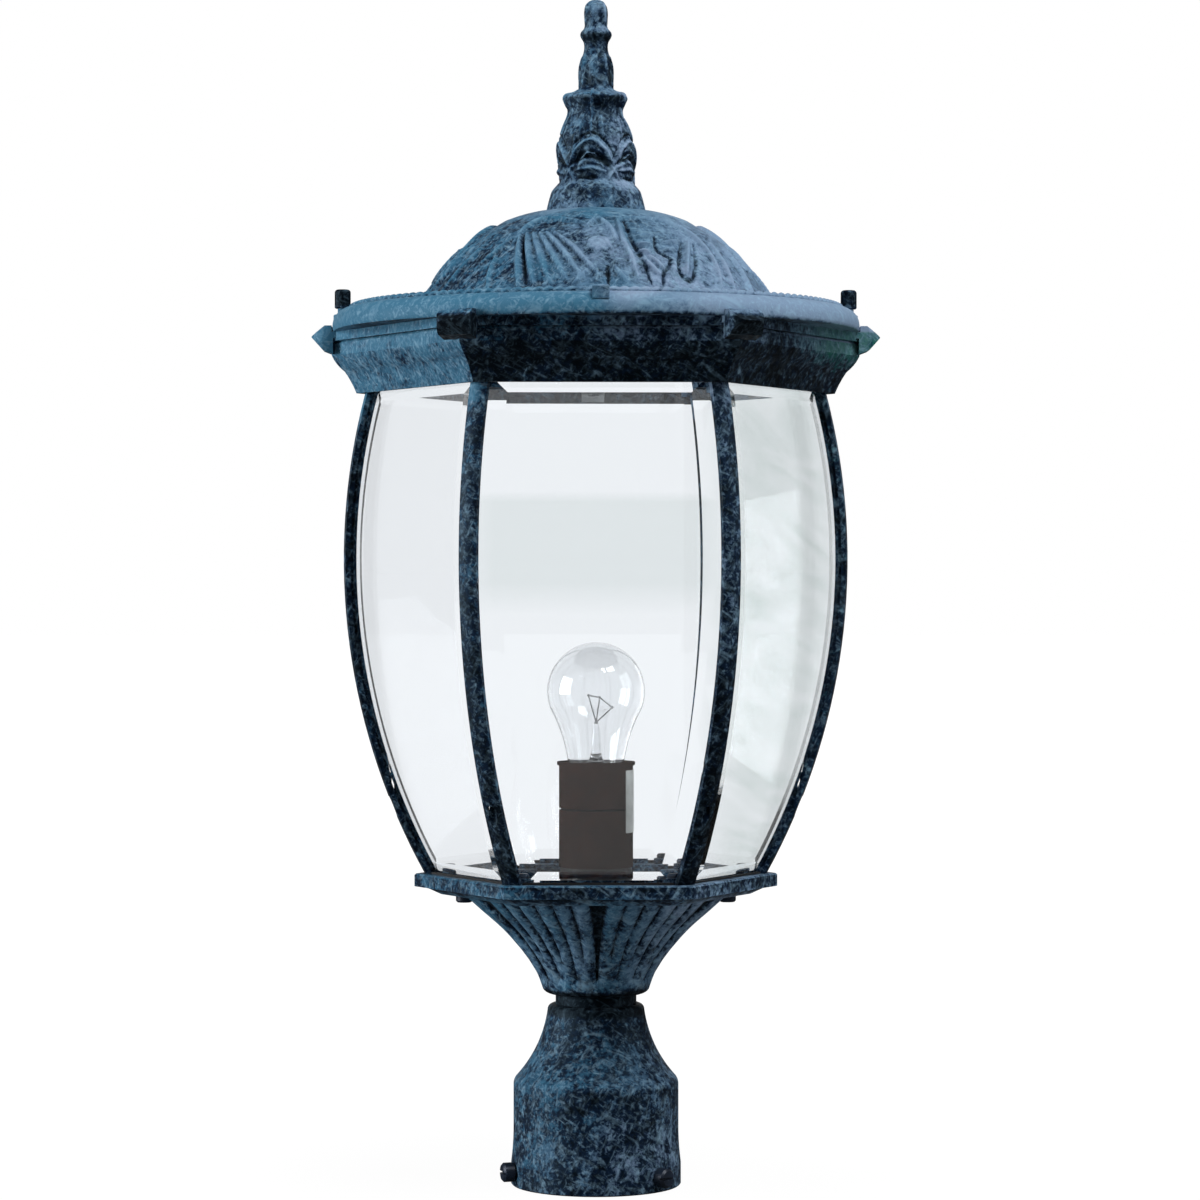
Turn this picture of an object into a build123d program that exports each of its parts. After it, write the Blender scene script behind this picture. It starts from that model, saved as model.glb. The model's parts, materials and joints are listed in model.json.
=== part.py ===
from build123d import *
from math import asin, cos, degrees, radians, sin, sqrt, tan
import os

# Post top lantern, in millimetres, +Z up.
# Origin: centre of the fitter's bottom edge. The cage is a hexagon with corners on +X and -X
# and flat sides facing -Y (the front) and +Y.

# ---------------------------------------------------------------- heights, bottom to top
fitter_height = 90.0
neck_height = 5.0
urn_height = 49.5
flange_thickness = 4.0
ring_thickness = 6.5
cage_height = 246.0
belly_height = 157.0      # widest place of the cage, above the cage ring
crown_drop = 6.3          # crown lip below the crown's inner ledge
crown_height = 24.0       # crown top above the underside of its ledge
rim_height = 11.0
dome_height = 49.3

urn_z = fitter_height + neck_height
flange_z = urn_z + urn_height
ring_z = flange_z + flange_thickness
cage_z = ring_z + ring_thickness
belly_z = cage_z + belly_height
ledge_z = cage_z + cage_height
lip_z = ledge_z - crown_drop
crown_top_z = ledge_z + crown_height
rim_top_z = crown_top_z + rim_height
dome_top_z = rim_top_z + dome_height

# ---------------------------------------------------------------- clearances
running_gap = 0.05        # turning shaft in its hole, on the radius
static_gap = 0.1          # fixed screw or pipe in its hole, on the radius
seat_gap = 0.3            # between curved or bedded pieces

# ---------------------------------------------------------------- hexagon
side_count = 6
corner_step = 360 / side_count
half_step = radians(corner_step / 2)
flat = cos(half_step)     # apothem of the hexagon over its corner radius
corner_angles = [corner_step * k for k in range(side_count)]
face_angles = [corner_step * (k + 0.5) for k in range(side_count)]

# ---------------------------------------------------------------- fitter
post_diameter = 76.2
post_gap = 0.6            # bore over post, on the radius
bore_depth = 49.0
fitter_wall = 2.5
fitter_band = 1.2         # band at the bottom, proud of the wall
fitter_band_height = 11.0
fitter_band_fade = 19.0   # height over which the band runs out into the wall
fitter_top_radius = 24.0
neck_radius = 20.2
fitter_ceiling = 11.0     # solid metal under the neck's top
bore_radius = post_diameter / 2 + post_gap
fitter_radius = bore_radius + fitter_wall
band_radius = fitter_radius + fitter_band

set_screw_first_angle = -44.0
set_screw_count = 3
set_screw_z = 7.6
set_screw_radius = 3.1
set_screw_head_radius = 4.8
set_screw_head_height = 5.6
set_screw_standoff = 0.8  # head clear of the band

# ---------------------------------------------------------------- urn and cage ring
urn_foot_radius = 27.0
urn_inset = 17.35         # urn's top inside the ring's flat sides
urn_wall = 3.5
urn_rim_ledge = 4.0       # flange inside the bell's top, which carries the floor plate
ring_margin = 5.15        # ring corner outside the post's foot
flange_inset = 5.7        # flange corner inside the ring's corner
flange_slope = 8.0        # how far the flange's edge slopes in
ring_opening_gap = 0.5
curb_width = 2.3          # curb inside each pane's foot
curb_height = 2.5
curb_gap = 0.3
curb_setback = 9.9        # curb's end short of the corner, clear of the post's lug
floor_plate_thickness = 2.0
floor_plate_overlap = 3.0

# ---------------------------------------------------------------- stem
stem_radius = 5.1
stem_wall = 1.5
nut_across_flats = 15.0
nut_thickness = 5.0
washer_radius = 14.0
washer_thickness = 2.0

# ---------------------------------------------------------------- corner posts
belly_radius = 126.0      # outer ridge of the posts at the widest place
barrel_radius = 325.0     # radius of the posts' curve
post_width = 9.5
post_ridge = 1.2          # rise of the ridge over the post's shoulders
post_depth = 8.5
post_cap_back = 0.9
post_web = 4.0
lug_radius = 5.0
lug_thickness = 3.0
foot_lug_inset = 13.56    # foot's screw behind the post's ridge
head_lug_inset = 12.08    # head's screw behind the post's ridge
screw_radius = 2.0
screw_head_radius = 3.5
screw_head_height = 2.4
screw_depth = 5.0

# ---------------------------------------------------------------- glass
glass_thickness = 3.0
glass_inset = 1.7         # glass corner line behind the posts' ridge
glass_edge_gap = 0.4      # glass edge to the post's web
glass_below_ring = 3.4    # how deep the glass stands in the ring
glass_under_ledge = 0.3
bevel_width = 11.0
bevel_depth = 1.6
slot_side_gap = 1.0
slot_floor_gap = 0.6
seal_height = 1.0         # seal above the ring

# ---------------------------------------------------------------- crown
lip_wall = 2.0
crown_wall = 3.2
crown_flare = 12.9        # crown flange outside the lip, measured on the flats
crown_flange = 4.5        # height of the crown's top edge
ledge_width = 17.6        # ledge inside the crown's lip, on the flats
crown_top_width = 12.5    # flat top that carries the roof, on the flats
ledge_thickness = 3.0
ear_width = 18.0
ear_reach = 7.5           # ear tip outside the crown's corner
ear_rise = 3.0            # ear top above the crown's top, outside the roof's rim
ear_tip_drop = 2.5        # ear's tip below the crown's top
ear_root_drop = 11.0      # where the ear's underside meets the crown, below its top
ear_web = 1.6             # ear past the crown's corner at its underside
ear_beak = 7.0            # how far the ear's top slopes down to its tip
ear_round = 6.0
clip_width = 12.0
clip_thickness = 1.2
clip_leg = 5.6
clip_foot = 8.0

# ---------------------------------------------------------------- roof
rim_inset = 3.1           # roof rim inside the crown's corner
rim_edge = 4.0            # straight part of the rim's edge
rim_round = 7.7           # width of the rim's rounded shoulder
roof_wall = 3.0
rope_radius = 2.0
rope_inset = 9.8          # rope inside the rim
dome_foot_radius = 91.0
dome_waist_radius = 75.0
dome_crown_radius = 25.0
dome_foot_height = 4.0    # above the rim
dome_waist_height = 22.5
roof_flange_width = 25.0  # flat ring that rests on the crown
knob_inset = 4.9          # knob axis inside the rim
knob_radius = 4.0
knob_head_height = 9.5
knob_neck_radius = 2.5
knob_neck_height = 3.0
knob_pad_radius = 4.6
knob_pad_rise = 9.0       # pad top above the crown's top
knob_shank_radius = 1.95
knob_reach = 4.0          # shank into the crown
block_width = 8.0
block_depth = 7.4
block_height = 6.5

# ---------------------------------------------------------------- finial
finial_base_radius = 24.8
finial_throat_radius = 19.2
finial_bulb_radius = 20.5
finial_waist_radius = 13.5
finial_collar_radius = 15.5
finial_vase_radius = 8.8
finial_neck_radius = 6.0
finial_ring_radius = 7.8
finial_tip_radius = 6.2
finial_base_height = 13.0
finial_bulb_height = 35.0
finial_collar_height = 12.5
finial_vase_height = 21.0
finial_ring_height = 10.0
finial_tip_height = 14.7
stud_above = 16.0
stud_below = 12.0

# ---------------------------------------------------------------- lamp holder and bulb
holder_radius = 18.5
holder_foot_radius = 18.0
holder_foot_height = 8.0
holder_cap_height = 28.5
holder_shell_height = 22.8
holder_seam = 1.2
holder_wall = 1.7
holder_lip = 1.0
holder_lip_height = 1.6
insulator_wall = 2.4
contact_shell_wall = 0.45
contact_shell_height = 28.0
holder_floor = 8.0
label_height = 31.0
label_thickness = 0.3
label_from = -38.0
label_to = 20.0

bulb_base_radius = 13.1
bulb_base_height = 25.5
bulb_base_gap = 0.35
bulb_neck_radius = 13.8
bulb_radius = 24.5
bulb_height = 94.0        # contact to crown
bulb_rise = 59.5          # bulb's crown above the holder's lip
bulb_glass_wall = 0.8
bulb_insulator_height = 4.0
bulb_contact_height = 2.0
bulb_contact_radius = 4.8
bulb_thread_pitch = 3.63
bulb_stem_height = 22.0
bulb_stem_flare = 9.0     # height of the stem's flared foot


# ================================================================ shared shapes
def turned(points, angle=360):
    """Solid turned about Z from a closed outline in the XZ plane."""
    return revolve(make_face(points), axis=Axis.Z, revolution_arc=angle)


def closed(points):
    """Closed outline of straight lines in the XZ plane."""
    return Polyline(*[(r, 0, z) for r, z in points], close=True)


def disc(radius, low, high):
    return Pos(0, 0, low) * Cylinder(radius, high - low, align=(Align.CENTER, Align.CENTER, Align.MIN))


def tube(outer, inner, low, high):
    return disc(outer, low, high) - disc(inner, low - 1, high + 1)


def hexagon(corner_radius, low, high):
    return Pos(0, 0, low) * extrude(RegularPolygon(corner_radius, side_count), amount=high - low)


def nut(low, high, hole):
    return hexagon(nut_across_flats / 2 / flat, low, high) - disc(hole, low - 1, high + 1)


def at_corner(shape, k):
    return Rot(0, 0, corner_angles[k]) * shape


def at_face(shape, k):
    return Rot(0, 0, face_angles[k]) * shape


def sector(setback=0.0):
    """Wedge between two corner planes about +X, each set back by a distance."""
    start = setback / sin(half_step)
    width = (reach - start) * tan(half_step)
    outline = Polyline((start, 0, 0), (reach, width, 0), (reach, -width, 0), close=True)
    return extrude(make_face(outline), amount=3 * reach)


def mitred(outline):
    """Hexagonal frame with mitred corners from an outline of apothem and height."""
    bar = extrude(make_face(outline), amount=reach, dir=(0, 1, 0), both=True)
    side = bar & sector()
    frame = at_face(side, 0)
    for k in range(1, side_count):
        frame += at_face(side, k)
    return frame


def screw_down(radius, top, head_radius=screw_head_radius, head_height=screw_head_height, length=screw_depth):
    """Pan head screw at the given distance along +X, its head standing on the given height."""
    head = disc(head_radius, top, top + head_height)
    head = chamfer(head.edges().group_by(Axis.Z)[-1], head_height * 0.3)
    slot = Pos(0, 0, top + head_height) * Box(head_radius * 3, 0.8, head_height * 0.7)
    return Pos(radius, 0, 0) * (head + disc(screw_radius, top - length, top) - slot)


def save(name, shape):
    export_step(shape, f"parts/{name}.step")


# ================================================================ curves of the cage
barrel_centre = belly_radius - barrel_radius
reach = belly_radius + cage_height    # longer than any piece is wide, for cutting blocks


def ridge_radius(z, inset=0.0):
    """Distance of the post's ridge from the axis, or of a line behind it, at a height."""
    return barrel_centre + sqrt((barrel_radius - inset) ** 2 - (z - belly_z) ** 2)


glass_low_z = cage_z - glass_below_ring
glass_high_z = ledge_z - glass_under_ledge
glass_belly = flat * ridge_radius(belly_z, glass_inset)
glass_drop = glass_belly - flat * ridge_radius(glass_low_z, glass_inset)
glass_run = belly_z - glass_low_z
glass_curve = (glass_run ** 2 + glass_drop ** 2) / (2 * glass_drop)
glass_centre = glass_belly - glass_curve


def glass_face(z, depth=0.0):
    """Apothem of the glass at a height, a depth behind its outer face."""
    return glass_centre + sqrt((glass_curve - depth) ** 2 - (z - belly_z) ** 2)


ring_radius = ridge_radius(cage_z) + ring_margin
urn_top_radius = flat * ring_radius - urn_inset
flange_radius = ring_radius - flange_inset
foot_lug_radius = ridge_radius(cage_z) - foot_lug_inset
head_lug_radius = ridge_radius(ledge_z) - head_lug_inset
opening_radius = urn_top_radius - urn_rim_ledge + floor_plate_overlap + ring_opening_gap
lip_inner = flat * (ridge_radius(lip_z) - post_ridge + post_width / 2 * tan(half_step) + seat_gap * 1.5)
lip_outer = lip_inner + lip_wall
crown_edge = lip_outer + crown_flare
crown_opening = lip_inner - ledge_width
crown_top_opening = crown_edge - crown_top_width
crown_corner = crown_edge / flat
rim_radius = crown_corner - rim_inset
knob_place = rim_radius - knob_inset


# ================================================================ fitter
def make_post_fitter():
    shoulder_z = bore_depth + 1
    stop_radius = bore_radius - 4.2
    ceiling_z = urn_z - fitter_ceiling
    chamber_radius = neck_radius - 2.2
    outer = [
        Line((0, 0, 0), (band_radius - 0.6, 0, 0)),
        Line((band_radius - 0.6, 0, 0), (band_radius, 0, 0.6)),
        Line((band_radius, 0, 0.6), (band_radius, 0, fitter_band_height)),
        ThreePointArc(
            (band_radius, 0, fitter_band_height),
            (fitter_radius + fitter_band * 0.27, 0, fitter_band_height + fitter_band_fade * 0.45),
            (fitter_radius, 0, fitter_band_height + fitter_band_fade),
        ),
        Line((fitter_radius, 0, fitter_band_height + fitter_band_fade), (fitter_radius, 0, shoulder_z)),
        ThreePointArc(
            (fitter_radius, 0, shoulder_z),
            (fitter_radius - 0.5, 0, shoulder_z + 2.4),
            (fitter_radius - 1.9, 0, shoulder_z + 4.4),
        ),
        ThreePointArc(
            (fitter_radius - 1.9, 0, shoulder_z + 4.4),
            (fitter_top_radius + 5.8, 0, fitter_height - 21.4),
            (fitter_top_radius + 0.2, 0, fitter_height - 3),
        ),
        ThreePointArc(
            (fitter_top_radius + 0.2, 0, fitter_height - 3),
            (fitter_top_radius - 0.7, 0, fitter_height - 0.8),
            (fitter_top_radius - 2.6, 0, fitter_height),
        ),
        Line((fitter_top_radius - 2.6, 0, fitter_height), (neck_radius, 0, fitter_height)),
        Line((neck_radius, 0, fitter_height), (neck_radius, 0, urn_z)),
        Line((neck_radius, 0, urn_z), (0, 0, urn_z)),
        Line((0, 0, urn_z), (0, 0, 0)),
    ]
    hollow = closed([
        (0, -1),
        (bore_radius, -1),
        (bore_radius, bore_depth),
        (stop_radius, bore_depth),
        (stop_radius, bore_depth + 2),
        (chamber_radius, ceiling_z - 6),
        (chamber_radius, ceiling_z),
        (0, ceiling_z),
    ])
    fitter = turned(outer) - turned(hollow) - disc(stem_radius + static_gap, 0, urn_z + 1)
    drill = Pos(0, 0, set_screw_z) * Rot(0, 90, 0) * disc(set_screw_radius + running_gap, 0, band_radius + 5)
    for k in range(set_screw_count):
        fitter -= Rot(0, 0, set_screw_first_angle + 360 / set_screw_count * k) * drill
    return fitter


def make_set_screw():
    """Slotted set screw along +X, its tip just short of the bore."""
    tip = bore_radius + seat_gap
    head_start = band_radius + set_screw_standoff
    head_end = head_start + set_screw_head_height
    shank = disc(set_screw_radius, tip, head_start)
    head = disc(set_screw_head_radius, head_start, head_end)
    head = chamfer(head.edges().group_by(Axis.Z)[-1], 1.0)
    slot = Pos(0, 0, head_end) * Box(1.2, set_screw_head_radius * 3, 3.0)
    return Pos(0, 0, set_screw_z) * Rot(0, 90, 0) * (shank + head - slot)


# ================================================================ urn, ring and floor
def make_urn_base():
    foot_z = urn_z + 4
    neck_join = urn_z + urn_height - 4
    bell = [
        Line((0, 0, urn_z), (neck_radius + 0.6, 0, urn_z)),
        ThreePointArc(
            (neck_radius + 0.6, 0, urn_z),
            (urn_foot_radius - 1.6, 0, urn_z + 1.4),
            (urn_foot_radius, 0, foot_z),
        ),
        ThreePointArc(
            (urn_foot_radius, 0, foot_z),
            (urn_foot_radius + 13.2, 0, urn_z + 25.5),
            (urn_top_radius, 0, neck_join),
        ),
        Line((urn_top_radius, 0, neck_join), (urn_top_radius, 0, flange_z)),
        Line((urn_top_radius, 0, flange_z), (0, 0, flange_z)),
        Line((0, 0, flange_z), (0, 0, urn_z)),
    ]
    inner_top = urn_top_radius - urn_rim_ledge
    hollow = [
        Line((0, 0, foot_z + 1), (urn_foot_radius - urn_wall, 0, foot_z + 1)),
        ThreePointArc(
            (urn_foot_radius - urn_wall, 0, foot_z + 1),
            (urn_foot_radius + 13.2 - urn_wall * 0.8, 0, urn_z + 25.5 + urn_wall * 0.6),
            (inner_top, 0, neck_join + 1),
        ),
        Line((inner_top, 0, neck_join + 1), (inner_top, 0, ring_z + 1)),
        Line((inner_top, 0, ring_z + 1), (0, 0, ring_z + 1)),
        Line((0, 0, ring_z + 1), (0, 0, foot_z + 1)),
    ]
    low_edge = Pos(0, 0, flange_z) * RegularPolygon(flange_radius - flange_slope, side_count)
    high_edge = Pos(0, 0, ring_z) * RegularPolygon(flange_radius, side_count)
    flange = loft([low_edge, high_edge], ruled=True)
    urn = turned(bell) + flange - turned(hollow) - disc(stem_radius + static_gap, urn_z - 1, ring_z)
    for side in (1, -1):
        urn -= Pos(side * ring_screw_place, 0, 0) * disc(screw_radius + static_gap, flange_z - 1, ring_z + 1)
    return urn


ring_screw_head_radius = 4.2
ring_screw_head_height = 4.0
ring_screw_place = urn_top_radius + ring_screw_head_radius + 0.4
ring_screw_length = flange_thickness + 4.5


def make_ring_screws():
    """Two screws that hold the cage ring to the urn, heads below the flange."""
    head = disc(ring_screw_head_radius, flange_z - ring_screw_head_height, flange_z)
    head = chamfer(head.edges().group_by(Axis.Z)[0], 0.8)
    shank = disc(screw_radius, flange_z, flange_z + ring_screw_length)
    return Compound(children=[Pos(side * ring_screw_place, 0, 0) * (head + shank) for side in (1, -1)])


def slot_block(top):
    """Block in one glass slot of the ring, on the face along +X, up to a height."""
    low = glass_low_z - slot_floor_gap
    inner = glass_face(glass_low_z, glass_thickness) - seat_gap
    outer = glass_face(cage_z) + seat_gap + slot_side_gap
    block = Pos((inner + outer) / 2, 0, (low + top) / 2) * Box(outer - inner, reach, top - low)
    return block & sector(post_web / 2)


def make_cage_ring():
    ring = hexagon(ring_radius, ring_z, cage_z)
    ring = chamfer(ring.edges().filter_by(GeomType.LINE).group_by(Axis.Z)[-1], 0.8)
    ring -= disc(opening_radius, ring_z - 1, cage_z + 1)
    slot = slot_block(cage_z + 1)
    curb_place = glass_face(glass_low_z, glass_thickness) - seat_gap - curb_gap - curb_width / 2
    curb_length = 2 * (curb_place * tan(half_step) - curb_setback)
    curb = Pos(curb_place, 0, cage_z + curb_height / 2) * Box(curb_width, curb_length, curb_height)
    for k in range(side_count):
        ring -= at_face(slot, k)
        ring += at_face(curb, k)
        ring -= at_corner(Pos(foot_lug_radius, 0, 0) * foot_drill, k)
    for side in (1, -1):
        ring -= Pos(side * ring_screw_place, 0, 0) * ring_drill
    return ring


foot_drill = disc(screw_radius + static_gap, cage_z - screw_depth + lug_thickness - 0.5, cage_z + 1)
ring_drill = disc(screw_radius + static_gap, ring_z - 1, flange_z + ring_screw_length + 0.5)


def make_floor_plate():
    plate_radius = urn_top_radius - urn_rim_ledge + floor_plate_overlap
    return tube(plate_radius, stem_radius + static_gap, ring_z, ring_z + floor_plate_thickness)


plate_top_z = ring_z + floor_plate_thickness
ceiling_z = urn_z - fitter_ceiling


def make_stem():
    return tube(stem_radius, stem_radius - stem_wall, ceiling_z - washer_thickness - nut_thickness - 3,
                plate_top_z + nut_thickness + 1)


# ================================================================ corner posts
def make_corner_post():
    """Post on the +X corner: a ridged cap over a web, bent to the barrel's curve, with two screw lugs."""
    half = post_width / 2
    web = post_web / 2
    slope = tan(half_step)
    section = Polyline(
        (belly_radius, 0, belly_z),
        (belly_radius - post_ridge, half, belly_z),
        (belly_radius - post_cap_back - half * slope, half, belly_z),
        (belly_radius - post_cap_back - web * slope, web, belly_z),
        (belly_radius - post_depth, web, belly_z),
        (belly_radius - post_depth, -web, belly_z),
        (belly_radius - post_cap_back - web * slope, -web, belly_z),
        (belly_radius - post_cap_back - half * slope, -half, belly_z),
        (belly_radius - post_ridge, -half, belly_z),
        close=True,
    )
    up = degrees(asin((ledge_z - belly_z) / barrel_radius)) + 2
    down = degrees(asin((belly_z - cage_z) / barrel_radius)) + 2
    bend_axis = Axis((barrel_centre, 0, belly_z), (0, 1, 0))
    start = make_face(section).rotate(bend_axis, -up)
    bar = revolve(start, axis=bend_axis, revolution_arc=up + down)
    height = ledge_z - cage_z
    bar = bar & (Pos(belly_radius, 0, cage_z + height / 2) * Box(belly_radius * 2, reach, height))
    foot = Pos(foot_lug_radius, 0, 0) * disc(lug_radius, cage_z, cage_z + lug_thickness)
    foot_web = Pos(foot_lug_radius + 5, 0, cage_z + lug_thickness / 2) * Box(10, post_web, lug_thickness)
    head = Pos(head_lug_radius, 0, 0) * disc(lug_radius - 0.5, ledge_z - lug_thickness, ledge_z)
    head_web = Pos(head_lug_radius + 4, 0, ledge_z - lug_thickness / 2) * Box(8, post_web, lug_thickness)
    post = bar + foot + foot_web + head + head_web
    for place in (foot_lug_radius, head_lug_radius):
        post -= Pos(place, 0, 0) * disc(screw_radius + static_gap, cage_z - 1, ledge_z + 1)
    return post


def make_foot_screws():
    screw = screw_down(foot_lug_radius, cage_z + lug_thickness)
    return Compound(children=[at_corner(screw, k) for k in range(side_count)])


def make_head_screws():
    screw = screw_down(head_lug_radius, ledge_z + ledge_thickness)
    return Compound(children=[at_corner(screw, k) for k in range(side_count)])


# ================================================================ glass
def make_glass_panel():
    """Bent panel on the face along +X, bevelled on all four edges of its outer side."""
    low = glass_low_z
    high = glass_high_z
    inner = glass_thickness
    outline = [
        ThreePointArc(
            (glass_face(low), 0, low), (glass_belly, 0, belly_z), (glass_face(high), 0, high)
        ),
        Line((glass_face(high), 0, high), (glass_face(high, inner), 0, high)),
        ThreePointArc(
            (glass_face(high, inner), 0, high),
            (glass_belly - inner, 0, belly_z),
            (glass_face(low, inner), 0, low),
        ),
        Line((glass_face(low, inner), 0, low), (glass_face(low), 0, low)),
    ]
    sheet = extrude(make_face(outline), amount=reach, dir=(0, 1, 0), both=True)
    panel = sheet & sector(post_web / 2 + glass_edge_gap)
    front = panel.faces().sort_by(SortBy.AREA)[-1]
    for face in panel.faces().sort_by(SortBy.AREA)[-2:]:
        if face.center().X > front.center().X:
            front = face
    return chamfer(front.edges(), bevel_width, bevel_depth, reference=front)


def make_seals(panel):
    """Channel strip that fills each slot of the ring round the glass."""
    strip = (slot_block(cage_z + seal_height) & sector(post_width / 2 + 0.6)) - panel
    return Compound(children=[at_face(strip, k) for k in range(side_count)])


# ================================================================ crown
def make_crown_frame():
    top = crown_top_z
    low_flange = top - crown_flange
    neck = crown_edge - 2.2
    neck_z = top - 11.5
    wall = neck - crown_wall
    ledge_top = ledge_z + ledge_thickness
    outline = [
        Line((lip_inner, 0, lip_z), (lip_outer, 0, lip_z)),
        ThreePointArc(
            (lip_outer, 0, lip_z), (lip_outer + 2.0, 0, lip_z + 5.0), (lip_outer + 5.1, 0, lip_z + 10.8)
        ),
        ThreePointArc(
            (lip_outer + 5.1, 0, lip_z + 10.8), (lip_outer + 7.9, 0, lip_z + 13.8), (neck, 0, neck_z)
        ),
        Line((neck, 0, neck_z), (neck, 0, low_flange - 1.2)),
        Line((neck, 0, low_flange - 1.2), (neck - 0.8, 0, low_flange)),
        Line((neck - 0.8, 0, low_flange), (crown_edge, 0, low_flange)),
        Line((crown_edge, 0, low_flange), (crown_edge, 0, top)),
        Line((crown_edge, 0, top), (crown_top_opening, 0, top)),
        Line((crown_top_opening, 0, top), (crown_top_opening, 0, top - crown_wall)),
        Line((crown_top_opening, 0, top - crown_wall), (wall, 0, top - crown_wall)),
        Line((wall, 0, top - crown_wall), (wall, 0, neck_z)),
        Line((wall, 0, neck_z), (lip_outer + 1.6, 0, ledge_top)),
        Line((lip_outer + 1.6, 0, ledge_top), (crown_opening, 0, ledge_top)),
        Line((crown_opening, 0, ledge_top), (crown_opening, 0, ledge_z)),
        Line((crown_opening, 0, ledge_z), (lip_inner, 0, ledge_z)),
        Line((lip_inner, 0, ledge_z), (lip_inner, 0, lip_z)),
    ]
    crown = mitred(outline)
    ear_tip = crown_corner + ear_reach
    ear_root = crown_top_opening / flat + 1
    ear_top = top + ear_rise
    ear_low = top - ear_root_drop
    ear_foot = neck / flat - 1
    beak = closed([
        (ear_root, top - crown_wall),
        (ear_root, ear_top),
        (ear_tip - ear_beak, ear_top),
        (ear_tip, top - ear_tip_drop),
        (crown_corner + ear_web, top - ear_root_drop * 0.82),
        (ear_foot, ear_low),
        (ear_foot, top - crown_wall),
    ])
    ear = extrude(make_face(beak), amount=ear_width / 2, dir=(0, 1, 0), both=True)
    plan = Pos((ear_root + ear_tip) / 2, 0, top) * Box(ear_tip - ear_root, ear_width, 4 * ear_root_drop)
    ear &= fillet(plan.edges().filter_by(Axis.Z).group_by(Axis.X)[-1], ear_round)
    ear -= disc(rim_radius + seat_gap + 0.2, top, ear_top + 1)
    for k in range(side_count):
        crown += at_corner(ear, k)
    for k in range(side_count):
        crown -= at_corner(Pos(head_lug_radius, 0, 0) * ledge_drill, k)
        crown -= at_face(Pos(clip_screw_place, 0, 0) * clip_drill, k)
    for side in (1, -1):
        crown -= Pos(side * knob_place, 0, 0) * disc(knob_shank_radius + running_gap, ear_low - 1, top + 1)
    return crown


ledge_drill = disc(screw_radius + static_gap, ledge_z - 1, ledge_z + ledge_thickness + 1)
clip_screw_place = glass_face(glass_high_z, glass_thickness) - clip_thickness - clip_foot / 2 - 0.6
clip_drill = disc(screw_radius * 0.8 + static_gap, ledge_z - 1, ledge_z + ledge_thickness + 1)


def make_glass_clips():
    """Angle clips under the ledge that keep each panel's top from tipping inwards."""
    top = ledge_z
    low = ledge_z - clip_leg
    lean_top = glass_face(top - clip_thickness, glass_thickness) - seat_gap
    lean_low = glass_face(low, glass_thickness) - seat_gap
    outline = closed([
        (lean_low, low),
        (lean_top, top - clip_thickness),
        (lean_top, top),
        (lean_top - clip_thickness - clip_foot, top),
        (lean_top - clip_thickness - clip_foot, top - clip_thickness),
        (lean_top - clip_thickness, top - clip_thickness),
        (lean_low - clip_thickness, low),
    ])
    clip = extrude(make_face(outline), amount=clip_width / 2, dir=(0, 1, 0), both=True)
    clip -= Pos(clip_screw_place, 0, 0) * clip_drill
    clip -= Pos(clip_screw_place, 0, 0) * disc(screw_radius * 0.8 + static_gap, low, top + 1)
    return Compound(children=[at_face(clip, k) for k in range(side_count)])


def make_clip_screws():
    top = ledge_z - clip_thickness
    head = disc(screw_head_radius * 0.8, top - 1.8, top)
    head = chamfer(head.edges().group_by(Axis.Z)[0], 0.5)
    screw = Pos(clip_screw_place, 0, 0) * (head + disc(screw_radius * 0.8, top, top + clip_thickness + 2.8))
    return Compound(children=[at_face(screw, k) for k in range(side_count)])


# ================================================================ roof
def dome_edges(inset, start_radius):
    """Three arcs of the dome from the rim to the finial, moved in by a wall thickness."""
    top = rim_top_z
    line = [
        (start_radius, top + 0.6, 88),
        (dome_foot_radius + 13, top + 1.2, 84),
        (dome_foot_radius, top + dome_foot_height, 62),
        (dome_foot_radius - 7, top + dome_foot_height + 7.7, 42),
        (dome_waist_radius, top + dome_waist_height, 38),
        (dome_waist_radius - 14, top + dome_waist_height + 13.8, 55),
        (dome_crown_radius, dome_top_z, 90),
    ]
    places = [(r - inset * cos(radians(lean)), 0, z - inset * sin(radians(lean))) for r, z, lean in line]
    return places, [ThreePointArc(*places[k:k + 3]) for k in (0, 2, 4)]


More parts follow.
